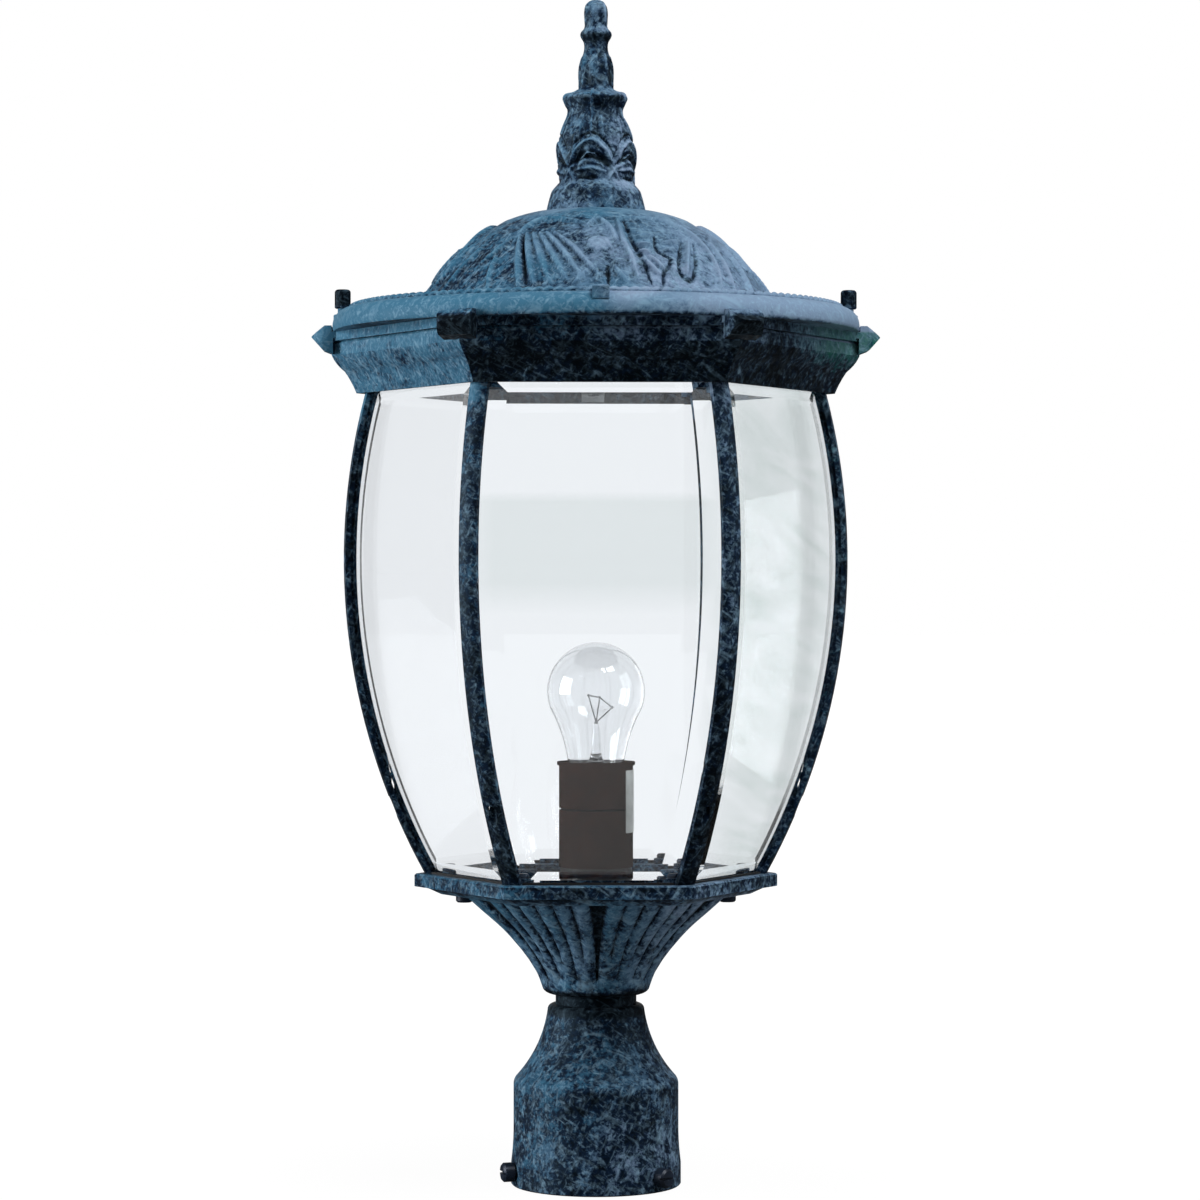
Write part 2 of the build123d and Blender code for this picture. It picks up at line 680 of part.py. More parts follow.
def make_roof_dome():
    base = crown_top_z
    wall = roof_wall
    shoulder = rim_radius - rim_round
    rope_place = rim_radius - rope_inset
    start = rope_place - rope_radius
    places, arcs = dome_edges(0.0, start)
    outer = arcs + [
        Line(places[-1], (0, 0, dome_top_z)),
        Line((0, 0, dome_top_z), (0, 0, base)),
        Line((0, 0, base), (rim_radius - 0.8, 0, base)),
        Line((rim_radius - 0.8, 0, base), (rim_radius, 0, base + 0.8)),
        Line((rim_radius, 0, base + 0.8), (rim_radius, 0, base + rim_edge)),
        ThreePointArc(
            (rim_radius, 0, base + rim_edge),
            (rim_radius - 2.7, 0, base + rim_edge + 4.4),
            (shoulder, 0, rim_top_z),
        ),
        Line((shoulder, 0, rim_top_z), places[0]),
    ]
    flange_inner = rim_radius - roof_flange_width
    places, arcs = dome_edges(wall, start)
    rim_solid = places[0][0]
    inner = arcs + [
        Line(places[-1], (0, 0, dome_top_z - wall)),
        Line((0, 0, dome_top_z - wall), (0, 0, base - 1)),
        Line((0, 0, base - 1), (flange_inner, 0, base - 1)),
        Line((flange_inner, 0, base - 1), (flange_inner, 0, base + wall)),
        Line((flange_inner, 0, base + wall), (rim_solid, 0, base + wall)),
        Line((rim_solid, 0, base + wall), places[0]),
    ]
    rope = Pos(0, 0, rim_top_z + rope_radius * 0.3) * Torus(rope_place, rope_radius)
    roof = turned(outer) - turned(inner) + rope
    pad = disc(knob_pad_radius, base, base + knob_pad_rise)
    shank_hole = disc(knob_shank_radius + running_gap, base - 1, base + knob_pad_rise + 1)
    above_pad = disc(knob_pad_radius, base + knob_pad_rise, base + knob_pad_rise + 6)
    for side in (1, -1):
        place = Pos(side * knob_place, 0, 0)
        roof = roof + place * pad - place * above_pad - place * shank_hole
    return roof - disc(stem_radius + static_gap, dome_top_z - wall - 1, dome_top_z + 1)


def make_rim_blocks(roof):
    """Square blocks on the rim's shoulder, front and back."""
    place = rim_radius - rope_inset + rope_radius + block_depth / 2
    low = rim_top_z - block_height * 0.6
    block = Pos(place, 0, low + block_height / 2) * Box(block_depth, block_width, block_height)
    block = chamfer(block.edges().group_by(Axis.Z)[-1], 0.8)
    return Compound(children=[Rot(0, 0, angle) * block - roof for angle in (-90, 90)])


def make_knob():
    seat = crown_top_z + knob_pad_rise
    neck_top = seat + knob_neck_height
    head_top = neck_top + knob_head_height
    head = disc(knob_radius, neck_top, head_top)
    head = fillet(head.edges().group_by(Axis.Z)[-1], 1.6)
    head = chamfer(head.edges().group_by(Axis.Z)[0], 0.5)
    groove = Box(0.5, 0.9, knob_head_height * 0.55)
    for k in range(12):
        head -= Rot(0, 0, 30 * k) * Pos(knob_radius, 0, neck_top + knob_head_height * 0.45) * groove
    shank = disc(knob_shank_radius, crown_top_z - knob_reach, seat)
    return head + disc(knob_neck_radius, seat, neck_top) + shank


# ================================================================ finial
def make_finial():
    base = dome_top_z
    bulb_z = base + finial_base_height
    waist_z = bulb_z + finial_bulb_height
    vase_z = waist_z + finial_collar_height
    neck_z = vase_z + finial_vase_height
    tip_z = neck_z + finial_ring_height
    top_z = tip_z + finial_tip_height
    throat = finial_throat_radius
    outline = [
        Line((0, 0, base), (finial_base_radius, 0, base)),
        Line((finial_base_radius, 0, base), (finial_base_radius - 2.4, 0, bulb_z - 2.6)),
        Line((finial_base_radius - 2.4, 0, bulb_z - 2.6), (throat + 0.5, 0, bulb_z)),
        ThreePointArc((throat + 0.5, 0, bulb_z), (throat, 0, bulb_z + 4), (throat + 0.5, 0, bulb_z + 8)),
        ThreePointArc(
            (throat + 0.5, 0, bulb_z + 8),
            (finial_bulb_radius, 0, bulb_z + finial_bulb_height * 0.4),
            (throat, 0, bulb_z + finial_bulb_height * 0.61),
        ),
        ThreePointArc(
            (throat, 0, bulb_z + finial_bulb_height * 0.61),
            (throat - 2.4, 0, bulb_z + finial_bulb_height * 0.78),
            (finial_waist_radius, 0, waist_z),
        ),
        ThreePointArc(
            (finial_waist_radius, 0, waist_z),
            (finial_waist_radius + 0.6, 0, waist_z + 3.5),
            (finial_collar_radius, 0, waist_z + 7),
        ),
        Line((finial_collar_radius, 0, waist_z + 7), (finial_collar_radius - 1.6, 0, vase_z - 2)),
        Line((finial_collar_radius - 1.6, 0, vase_z - 2), (finial_vase_radius - 0.3, 0, vase_z)),
        ThreePointArc(
            (finial_vase_radius - 0.3, 0, vase_z),
            (finial_vase_radius, 0, vase_z + finial_vase_height * 0.42),
            (finial_neck_radius, 0, neck_z),
        ),
        Line((finial_neck_radius, 0, neck_z), (finial_ring_radius, 0, neck_z + 6.5)),
        Line((finial_ring_radius, 0, neck_z + 6.5), (finial_tip_radius, 0, tip_z)),
        Line((finial_tip_radius, 0, tip_z), (finial_tip_radius - 0.2, 0, top_z - 6)),
        ThreePointArc(
            (finial_tip_radius - 0.2, 0, top_z - 6),
            (finial_tip_radius - 1.4, 0, top_z - 2.6),
            (1.2, 0, top_z),
        ),
        Line((1.2, 0, top_z), (0, 0, top_z)),
        Line((0, 0, top_z), (0, 0, base)),
    ]
    return turned(outline) - disc(stem_radius + running_gap, base - 1, base + stud_above + 1)


def make_finial_stud():
    return disc(stem_radius, dome_top_z - roof_wall - stud_below, dome_top_z + stud_above)


# ================================================================ lamp holder
foot_top_z = plate_top_z + holder_foot_height
cap_top_z = foot_top_z + holder_cap_height
shell_low_z = cap_top_z + holder_seam
shell_top_z = shell_low_z + holder_shell_height
holder_inner = holder_radius - holder_wall
insulator_radius = holder_inner - static_gap
contact_shell_inner = bulb_base_radius + bulb_base_gap
contact_shell_outer = contact_shell_inner + contact_shell_wall
insulator_inner = contact_shell_outer + static_gap
bulb_top_z = shell_top_z + bulb_rise
bulb_low_z = bulb_top_z - bulb_height
contact_top_z = bulb_low_z
insulator_floor_z = foot_top_z + holder_floor


def make_holder_foot():
    cup = disc(holder_foot_radius, plate_top_z, foot_top_z)
    cavity = disc(nut_across_flats / 2 / flat + 1, plate_top_z - 1, plate_top_z + nut_thickness + 0.8)
    return cup - cavity - disc(stem_radius + static_gap, plate_top_z, foot_top_z + 1)


def make_holder_shell():
    shell = tube(holder_radius, holder_inner, shell_low_z, shell_top_z)
    lip = tube(holder_radius + holder_lip, holder_inner, shell_top_z - holder_lip_height, shell_top_z)
    seam_ring = tube(holder_radius - 1.0, holder_inner, cap_top_z, shell_low_z)
    return shell + lip + seam_ring


def make_insulator():
    body = disc(insulator_radius, foot_top_z, shell_top_z - 1.5)
    body -= disc(insulator_inner, insulator_floor_z, shell_top_z)
    return body - disc(stem_radius + static_gap, foot_top_z - 1, foot_top_z + 2)


def make_contact_shell():
    top = shell_top_z - 3
    return tube(contact_shell_outer, contact_shell_inner, top - contact_shell_height, top)


def make_centre_contact():
    tongue = disc(bulb_contact_radius, insulator_floor_z, contact_top_z)
    return chamfer(tongue.edges().group_by(Axis.Z)[-1], 0.6)


def make_label():
    """Blank label, a thin curved sheet on the shell and cap."""
    low = shell_top_z - 4 - label_height
    sheet = Rot(0, 0, label_from) * revolve(
        make_face(closed([
            (holder_radius, low),
            (holder_radius + label_thickness, low),
            (holder_radius + label_thickness, low + label_height),
            (holder_radius, low + label_height),
        ])),
        axis=Axis.Z,
        revolution_arc=label_to - label_from,
    )
    return sheet


# ================================================================ bulb
bulb_base_low_z = bulb_low_z + bulb_contact_height + bulb_insulator_height
bulb_base_top_z = bulb_base_low_z + bulb_base_height
bulb_centre_z = bulb_top_z - bulb_radius


def bulb_edges(inset):
    """Two arcs of the bulb's wall, from its neck to its crown."""
    radius = bulb_radius - inset
    join, side, crown = [
        (radius * cos(radians(rise)), 0, bulb_centre_z + radius * sin(radians(rise)))
        for rise in (-20, 35, 90)
    ]
    neck = (bulb_neck_radius - inset, 0, bulb_base_top_z)
    bend = (bulb_neck_radius + 3.0 - inset, 0, (neck[2] + join[2]) / 2)
    return neck, crown, [ThreePointArc(neck, bend, join), ThreePointArc(join, side, crown)]


def make_bulb_glass():
    low, high, arcs = bulb_edges(0.0)
    inner_low, inner_high, inner_arcs = bulb_edges(bulb_glass_wall)
    return turned(arcs + inner_arcs + [Line(low, inner_low), Line(high, inner_high)])


def make_bulb_base():
    """Screw cap: a shallow rounded thread drawn as rings on a thin shell."""
    ring_count = int((bulb_base_height - 8) / bulb_thread_pitch)
    shell = tube(bulb_base_radius - 0.6, bulb_base_radius - 1.4, bulb_base_low_z, bulb_base_top_z)
    for k in range(ring_count):
        z = bulb_base_low_z + bulb_thread_pitch * (k + 0.8)
        shell += Pos(0, 0, z) * Torus(bulb_base_radius - 1.0, 1.0)
    collar = tube(bulb_neck_radius - 0.4, bulb_base_radius - 1.4, bulb_base_top_z - 3, bulb_base_top_z)
    return shell + collar - disc(bulb_base_radius - 1.4, bulb_base_low_z - 2, bulb_base_top_z + 1)


def make_bulb_insulator():
    low = bulb_low_z + bulb_contact_height
    cone = closed([
        (0, low),
        (bulb_contact_radius + 1, low),
        (bulb_base_radius - 0.9, bulb_base_low_z),
        (0, bulb_base_low_z),
    ])
    return turned(cone)


def make_bulb_contact():
    button = disc(bulb_contact_radius, bulb_low_z, bulb_low_z + bulb_contact_height)
    return chamfer(button.edges().group_by(Axis.Z)[0], 0.6)


stem_glass_top_z = bulb_base_top_z + bulb_stem_height


def make_bulb_stem():
    """Flared glass stem that holds the lead wires."""
    low = bulb_base_top_z
    outline = [
        Line((0, 0, low), (bulb_neck_radius - bulb_glass_wall - 0.3, 0, low)),
        ThreePointArc(
            (bulb_neck_radius - bulb_glass_wall - 0.3, 0, low),
            (4.6, 0, low + bulb_stem_flare * 0.3),
            (2.6, 0, low + bulb_stem_flare),
        ),
        Line((2.6, 0, low + bulb_stem_flare), (1.5, 0, stem_glass_top_z - 1)),
        Line((1.5, 0, stem_glass_top_z - 1), (1.5, 0, stem_glass_top_z)),
        Line((1.5, 0, stem_glass_top_z), (0, 0, stem_glass_top_z)),
        Line((0, 0, stem_glass_top_z), (0, 0, low)),
    ]
    return turned(outline)


def rod(start, end, radius):
    """Straight wire between two points."""
    path = Vector(*end) - Vector(*start)
    plane = Plane(origin=start, z_dir=path)
    return plane * Cylinder(radius, path.length, align=(Align.CENTER, Align.CENTER, Align.MIN))


def make_bulb_filament():
    """Two lead wires, a support and the filament bent over it."""
    top = stem_glass_top_z
    root = (0, 0, top + 0.6)
    left_end = (-3.8, 0, top + 14)
    right_end = (8.0, 0, top + 8)
    support = (1.8, -2.5, top + 13)
    wire = 0.35
    shape = disc(1.0, top, top + 1.0)
    for point in (left_end, right_end, support):
        shape += rod(root, point, wire)
        shape += Pos(*point) * Sphere(wire * 2)
    return shape + rod(left_end, support, wire) + rod(support, right_end, wire)


# ================================================================ all nodes
os.makedirs("parts", exist_ok=True)

save("post_fitter", make_post_fitter())
set_screw = make_set_screw()
for k in range(set_screw_count):
    save(f"set_screw_{k + 1}", Rot(0, 0, set_screw_first_angle + 360 / set_screw_count * k) * set_screw)
save("urn_base", make_urn_base())
save("ring_screws", make_ring_screws())
save("cage_ring", make_cage_ring())
save("floor_plate", make_floor_plate())
save("centre_stem", make_stem())
save("fitter_washer", tube(washer_radius, stem_radius + static_gap, ceiling_z - washer_thickness, ceiling_z))
save("fitter_locknut", nut(
    ceiling_z - washer_thickness - nut_thickness, ceiling_z - washer_thickness, stem_radius + static_gap
))
save("floor_locknut", nut(plate_top_z, plate_top_z + nut_thickness, stem_radius + static_gap))

corner_post = make_corner_post()
glass_panel = make_glass_panel()
for k in range(side_count):
    save(f"corner_post_{k + 1}", at_corner(corner_post, k))
    save(f"glass_panel_{k + 1}", at_face(glass_panel, k))
save("foot_screws", make_foot_screws())
save("head_screws", make_head_screws())
save("glass_seals", make_seals(glass_panel))
save("crown_frame", make_crown_frame())
save("glass_clips", make_glass_clips())
save("clip_screws", make_clip_screws())

roof = make_roof_dome()
save("roof_dome", roof)
save("rim_blocks", make_rim_blocks(roof))
knob = make_knob()
save("knob_right", Pos(knob_place, 0, 0) * knob)
save("knob_left", Pos(-knob_place, 0, 0) * knob)
save("finial", make_finial())
save("finial_stud", make_finial_stud())
save("finial_washer", tube(
    washer_radius, stem_radius + static_gap, dome_top_z - roof_wall - washer_thickness, dome_top_z - roof_wall
))
save("finial_nut", nut(
    dome_top_z - roof_wall - washer_thickness - nut_thickness,
    dome_top_z - roof_wall - washer_thickness,
    stem_radius + static_gap,
))

save("holder_foot", make_holder_foot())
save("holder_cap", tube(holder_radius, holder_inner, foot_top_z, cap_top_z))
save("holder_shell", make_holder_shell())
save("holder_insulator", make_insulator())
save("contact_shell", make_contact_shell())
save("centre_contact", make_centre_contact())
save("holder_label", make_label())
save("bulb_glass", make_bulb_glass())
save("bulb_base", make_bulb_base())
save("bulb_insulator", make_bulb_insulator())
save("bulb_contact", make_bulb_contact())
save("bulb_stem", make_bulb_stem())
save("bulb_filament", make_bulb_filament())
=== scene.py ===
import json
import math

import bpy
import numpy as np
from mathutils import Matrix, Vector


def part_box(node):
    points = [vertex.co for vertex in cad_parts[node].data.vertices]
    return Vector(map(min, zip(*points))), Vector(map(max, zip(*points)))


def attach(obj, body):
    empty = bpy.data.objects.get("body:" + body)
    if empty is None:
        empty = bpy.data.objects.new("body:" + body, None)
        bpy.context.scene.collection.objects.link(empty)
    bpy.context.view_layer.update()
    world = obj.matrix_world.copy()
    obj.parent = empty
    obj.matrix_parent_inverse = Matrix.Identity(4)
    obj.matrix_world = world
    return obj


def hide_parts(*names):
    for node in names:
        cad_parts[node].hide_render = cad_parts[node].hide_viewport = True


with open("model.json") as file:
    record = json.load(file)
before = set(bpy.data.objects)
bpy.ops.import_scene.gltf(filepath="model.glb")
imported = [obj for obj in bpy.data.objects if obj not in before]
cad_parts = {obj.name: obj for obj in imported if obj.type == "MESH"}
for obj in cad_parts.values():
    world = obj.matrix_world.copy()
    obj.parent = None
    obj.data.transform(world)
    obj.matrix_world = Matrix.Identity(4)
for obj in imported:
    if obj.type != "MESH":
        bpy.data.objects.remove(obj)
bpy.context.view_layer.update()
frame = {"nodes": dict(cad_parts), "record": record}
nodes = frame["nodes"]
millimetre = 0.001
weldDistance = 0.01 * millimetre
noiseSpan = (0.3, 0.7)     # nearly all of a noise texture lies between these


def toLinear(hexColour):
    # sRGB hex to the linear colour that a socket takes
    channels = []
    for start in (1, 3, 5):
        value = int(hexColour[start:start + 2], 16) / 255
        channels.append(value / 12.92 if value <= 0.04045 else ((value + 0.055) / 1.055) ** 2.4)
    return (*channels, 1.0)


def addNode(tree, kind, inputs=(), **settings):
    # inputs have names or numbers, or stand in order from the first; each is a value, a socket to link
    # from, or a node that gives its first output
    node = tree.nodes.new(kind)
    for name, value in settings.items():
        setattr(node, name, value)
    for name, value in inputs.items() if isinstance(inputs, dict) else enumerate(inputs):
        if isinstance(value, bpy.types.Node):
            value = value.outputs[0]
        if isinstance(value, bpy.types.NodeSocket):
            tree.links.new(value, node.inputs[name])
        else:
            node.inputs[name].default_value = value
    return node


def newMaterial(name):
    material = bpy.data.materials.new(name)
    material.use_nodes = True
    tree = material.node_tree
    tree.nodes.clear()
    shader = addNode(tree, "ShaderNodeBsdfPrincipled")
    addNode(tree, "ShaderNodeOutputMaterial", {"Surface": shader})
    return material, tree, shader


def perMetre(sizeMm):
    # noise scale that gives features of this size
    return 1 / (sizeMm * millimetre)


def placesInMm(tree, place):
    # how far aside, back and up a point lies
    scaled = addNode(tree, "ShaderNodeVectorMath", {0: place, "Scale": 1 / millimetre}, operation="SCALE")
    split = addNode(tree, "ShaderNodeSeparateXYZ", [scaled])
    return dict(zip(("aside", "back", "tall"), split.outputs))


def withinSpans(tree, measures, spans):
    # each span names a measure, its value up to which the share is 0 and its value from which it is 1;
    # the result is the product of all shares
    share = 1.0
    for name, start, full in spans:
        part = addNode(tree, "ShaderNodeMapRange", [measures[name], start, full])
        share = addNode(tree, "ShaderNodeMath", [share, part], operation="MULTIPLY")
    return share


# heights of the roof's dome and of the crown with the rim, in millimetres
onDome = [("tall", 430, 442), ("tall", 489, 485)]
onCrown = [("tall", 380, 390), ("tall", 437, 427)]

castLook = {
    # the wax cover also carries painted light and shade, and the ground follows it
    "ground": [(0.39, "#010309"), (0.50, "#0a1a31"), (0.60, "#20425f")],     # paint, by how much wax is on it
    "teal": "#3f708b",
    "lavender": "#8a9fba",
    "green": "#1d6b50",
    "fleck": "#98bed6",
    "sheen": "#6fa0c0",
    "gloss": 0.35,
    "roughness": (0.45, 0.66),
    "bump": (0.6, 0.7),                      # strength, and height in millimetres
    "noises": {                              # size in millimetres, detail, distortion
        "patches": (20, 3.0, 0.0),
        "blotches": (5.0, 4.0, 0.7),
        "fine": (1.9, 3.0, 0.3),
        "wax": (2.3, 2.0, 0.4),
        "hue": (60, 1.0, 0.0),
    },
    "noiseRoughness": 0.6,
    "grain": {"patches": 0.30, "blotches": 0.30, "fine": 0.30},     # share of each noise in the wax
    "heights": {"blotches": 0.6, "wax": 0.4},                       # and in the bump
    "domeGrain": 0.9,                        # the grain is calmer on the dome
    "leastWax": 0.11,
    # what adds wax, painted light and painted shade, and on which spans of relief, facing or millimetres
    "wax": [
        (0.24, [("relief", -2.6, -0.8)]),
        (0.17, [("relief", -0.8, 1.4)]),
        # more wax where a surface faces up: painted light from above
        (0.15, [("upward", -0.55, 0.55)]),
        # the crown's left side: painted light from the left
        (0.17, onCrown + [("paintedLightLeftSide", 0, 1)]),
        # more wax at the crown's right end, under the green: a painted green highlight
        (0.16, onCrown + [("aside", 85, 120), ("tall", 400, 412)]),
        (-0.05, onDome),
        (0.09, onDome + [("aside", -60, 30)]),
        # less wax on the crown tabs, except at the left and right ends: painted shade
        (-0.18, [("outward", 131.4, 132.2), ("aside", -100, -80), ("aside", 115, 100)]),     # crown tabs
        (-0.18, [("sideways", 121.5, 122.8), ("tall", 436.5, 438)]),                         # thumb knobs
    ],
    # how much more wax there is at each height in millimetres; the dark band from 87 to 95, at the neck under
    # the urn's bell, is painted shade
    "tallest": 600,
    "waxAndPaintedShadeAt": [
        (0, 0.0), (50, 0.0), (60, -0.04), (84, -0.05), (87, -0.20), (95, -0.20), (99, 0.13), (144, 0.21),
        (148, 0.03), (156, -0.02), (385, -0.03), (388, 0.0), (425, 0.0), (426, 0.20), (432, 0.20),
        (436, 0.16), (442, 0.06), (485, 0.06), (489, 0.0), (600, 0.0),
    ],
    # the crown's left side, made lighter as painted light from the left: what faces left and what stands out
    # on the left
    "paintedLightFacingLeft": [("sideFacing", -0.3, -0.6)],
    "paintedLightLeftEnd": [("aside", -115, -125)],
    # lavender shows in patches towards the right, and more evenly on the right itself: painted light of a
    # lavender tint
    "paintedLavenderLightPatches": [("hue", 0.44, 0.58), ("aside", -50, 10)],
    "paintedLavenderLightRight": [("aside", 0, 50)],
    "paintedLavenderLightMost": 0.8,
    # green on the downward faces at the crown's right end: a painted green highlight
    "paintedGreenHighlightEnd": [("aside", 80, 115), ("upward", 0.3, -0.1), ("tall", 425.5, 424.5)],
    "rubbed": (0.50, 0.68, 0.0, 0.88),       # from this cover to that, this share of pale wax to that
    "touched": (0.40, 0.52, 0.12, 0.50),     # the same for the flecks of a dry brush
    "spared": (0.56, 0.68, 1.0, 0.85),       # and what is left of them where the wax is full
    "specks": (0.55, 0.78, 0.0, 0.9),        # from this noise to that, this share of fleck to that
    # brushed marks: size in millimetres, distortion, turn in radians, stretch, and their noise's span
    "strokes": [
        (2.6, 0.6, (0.3, 0.55, 0.2), 3.6, (0.55, 0.78)),
        (2.6, 0.6, (0.3, -1.05, 0.2), 3.6, (0.55, 0.78)),
        (6.5, 0.8, (0.2, 0.25, 0.4), 3.0, (0.60, 0.72, 0.0, 0.8)),
    ],
    "strokeDetail": 2.0,
}


def makeCastAluminiumVerdigris():
    # cast aluminium, painted blue black and rubbed with teal and lavender wax: the dark ground stays in the
    # hollows, the wax takes on ridges in soft blotches with short brushed strokes, and the sheen over it is
    # the wax's own colour; the wax on tops and on the crown's left side, the lavender towards the right and
    # the green at the crown's right end are painted light, and the darker crown tabs and neck are painted
    # shade
    look = castLook
    material, tree, shader = newMaterial("castAluminiumVerdigris")
    place = addNode(tree, "ShaderNodeTexCoord").outputs["Object"]
    normal = addNode(tree, "ShaderNodeNewGeometry").outputs["Normal"]
    facing = addNode(tree, "ShaderNodeSeparateXYZ", [normal])
    flat = addNode(tree, "ShaderNodeVectorMath", [
        place, (1 / millimetre, 1 / millimetre, 0),
    ], operation="MULTIPLY")
    noises = {
        name: addNode(tree, "ShaderNodeTexNoise", {
            "Vector": place, "Scale": perMetre(size), "Detail": detail, "Roughness": look["noiseRoughness"],
            "Distortion": distortion,
        })
        for name, (size, detail, distortion) in look["noises"].items()
    }
    measures = placesInMm(tree, place)
    measures.update(
        relief=addNode(tree, "ShaderNodeAttribute", attribute_name="relief").outputs["Fac"],
        upward=facing.outputs["Z"],
        sideFacing=facing.outputs["X"],
        hue=noises["hue"],
        outward=addNode(tree, "ShaderNodeVectorMath", [flat], operation="LENGTH").outputs["Value"],
        sideways=addNode(tree, "ShaderNodeMath", [measures["aside"]], operation="ABSOLUTE"),
    )
    # the crown's left side, for the painted light from the left
    measures["paintedLightLeftSide"] = addNode(tree, "ShaderNodeMath", [
        withinSpans(tree, measures, look["paintedLightFacingLeft"]), withinSpans(tree, measures, look["paintedLightLeftEnd"]),
    ], operation="MAXIMUM")

    # cover is how much wax there is, with painted light and shade in it: a grain of noises, each about a
    # half, then what adds to it
    grain = -sum(look["grain"].values()) / 2
    for name, share in look["grain"].items():
        grain = addNode(tree, "ShaderNodeMath", [noises[name], share, grain], operation="MULTIPLY_ADD")
    calm = addNode(tree, "ShaderNodeMapRange", [
        withinSpans(tree, measures, onDome), 0.0, 1.0, 1.0, look["domeGrain"],
    ])
    byHeight = addNode(tree, "ShaderNodeFloatCurve", {
        "Value": addNode(tree, "ShaderNodeMapRange", [measures["tall"], 0, look["tallest"]]),
    })
    middle = 0.5     # of the curve, because it holds only 0 to 1
    corners = [(z / look["tallest"], middle + more) for z, more in look["waxAndPaintedShadeAt"]]
    curve = byHeight.mapping.curves[0]
    curve.points[0].location = corners[0]
    curve.points[1].location = corners[-1]
    for corner in corners[1:-1]:
        curve.points.new(*corner)
    for point in curve.points:
        point.handle_type = "VECTOR"
    byHeight.mapping.update()
    cover = addNode(tree, "ShaderNodeMath", [byHeight, look["leastWax"] - middle], operation="ADD")
    cover = addNode(tree, "ShaderNodeMath", [grain, calm, cover], operation="MULTIPLY_ADD")
    for more, spans in look["wax"]:
        share = withinSpans(tree, measures, spans)
        cover = addNode(tree, "ShaderNodeMath", [share, more, cover], operation="MULTIPLY_ADD")

    ground = addNode(tree, "ShaderNodeValToRGB", {"Fac": cover})
    elements = ground.color_ramp.elements
    elements.new(look["ground"][1][0])
    for element, (stop, colour) in zip(elements, look["ground"]):
        element.position = stop
        element.color = toLinear(colour)

    # the lavender towards the right is the tint of the light there, painted
    lavender = addNode(tree, "ShaderNodeMath", [
        withinSpans(tree, measures, look["paintedLavenderLightRight"]), look["paintedLavenderLightMost"],
    ], operation="MULTIPLY")
    lavender = addNode(tree, "ShaderNodeMath", [
        withinSpans(tree, measures, look["paintedLavenderLightPatches"]), lavender,
    ], operation="MAXIMUM")
    # where the painted green highlight goes
    paintedGreenHighlight = withinSpans(tree, measures, look["paintedGreenHighlightEnd"])

    strokes = addNode(tree, "ShaderNodeMapRange", [noises["wax"], *look["specks"]])
    for size, distortion, turn, stretch, span in look["strokes"]:
        brushed = addNode(tree, "ShaderNodeMapping", {
            "Vector": place, "Rotation": turn, "Scale": (stretch, 1.0, 1.0),
        }, vector_type="TEXTURE")
        mark = addNode(tree, "ShaderNodeTexNoise", {
            "Vector": brushed, "Scale": perMetre(size), "Detail": look["strokeDetail"],
            "Roughness": look["noiseRoughness"], "Distortion": distortion,
        })
        mark = addNode(tree, "ShaderNodeMapRange", [mark, *span])
        strokes = addNode(tree, "ShaderNodeMath", [strokes, mark], operation="MAXIMUM")
    for part in ("touched", "spared"):
        share = addNode(tree, "ShaderNodeMapRange", [cover, *look[part]])
        strokes = addNode(tree, "ShaderNodeMath", [strokes, share], operation="MULTIPLY")
    rubbed = addNode(tree, "ShaderNodeMapRange", [cover, *look["rubbed"]])

    pale = toLinear(look["teal"])
    for share, colour in ((lavender, "lavender"), (paintedGreenHighlight, "green")):
        pale = addNode(tree, "ShaderNodeMix", {
            0: share, 6: pale, 7: toLinear(look[colour]),
        }, data_type="RGBA").outputs[2]
    colour = ground
    for share, over in ((rubbed, pale), (strokes, toLinear(look["fleck"]))):
        colour = addNode(tree, "ShaderNodeMix", {0: share, 6: colour, 7: over}, data_type="RGBA").outputs[2]
    tree.links.new(colour, shader.inputs["Base Color"])

    rough = addNode(tree, "ShaderNodeMapRange", [noises["blotches"], *noiseSpan, *look["roughness"]])
    tree.links.new(rough.outputs[0], shader.inputs["Roughness"])
    shader.inputs["Specular IOR Level"].default_value = look["gloss"]
    shader.inputs["Specular Tint"].default_value = toLinear(look["sheen"])
    height = 0.0
    for name, share in look["heights"].items():
        height = addNode(tree, "ShaderNodeMath", [noises[name], share, height], operation="MULTIPLY_ADD")
    strength, tall = look["bump"]
    bump = addNode(tree, "ShaderNodeBump", {
        "Height": height, "Strength": strength, "Distance": tall * millimetre,
    })
    tree.links.new(bump.outputs[0], shader.inputs["Normal"])
    return material


# painted reflections on the panel glass: soft streaks on the right front panel and a band across the front
# one, in this tint
paneReflections = {
    "tint": "#d8e0df",
    "streakMm": 13,
    "turn": (0.2, 0.35, 0.5),          # radians
    "stretch": (5.0, 5.0, 1.0),
    "rightPaneReflection": [("aside", 45, 70), ("back", 0, -20), ("streaks", 1.05, 0.25)],
    "frontPaneReflectionBand": [
        ("back", -40, -60), ("aside", 70, 50), ("aside", -70, -50), ("tall", 285, 300), ("tall", 343, 338),
    ],
    "bandShare": 0.48,
    "detail": 2.0,
    "distortion": 0.8,
}


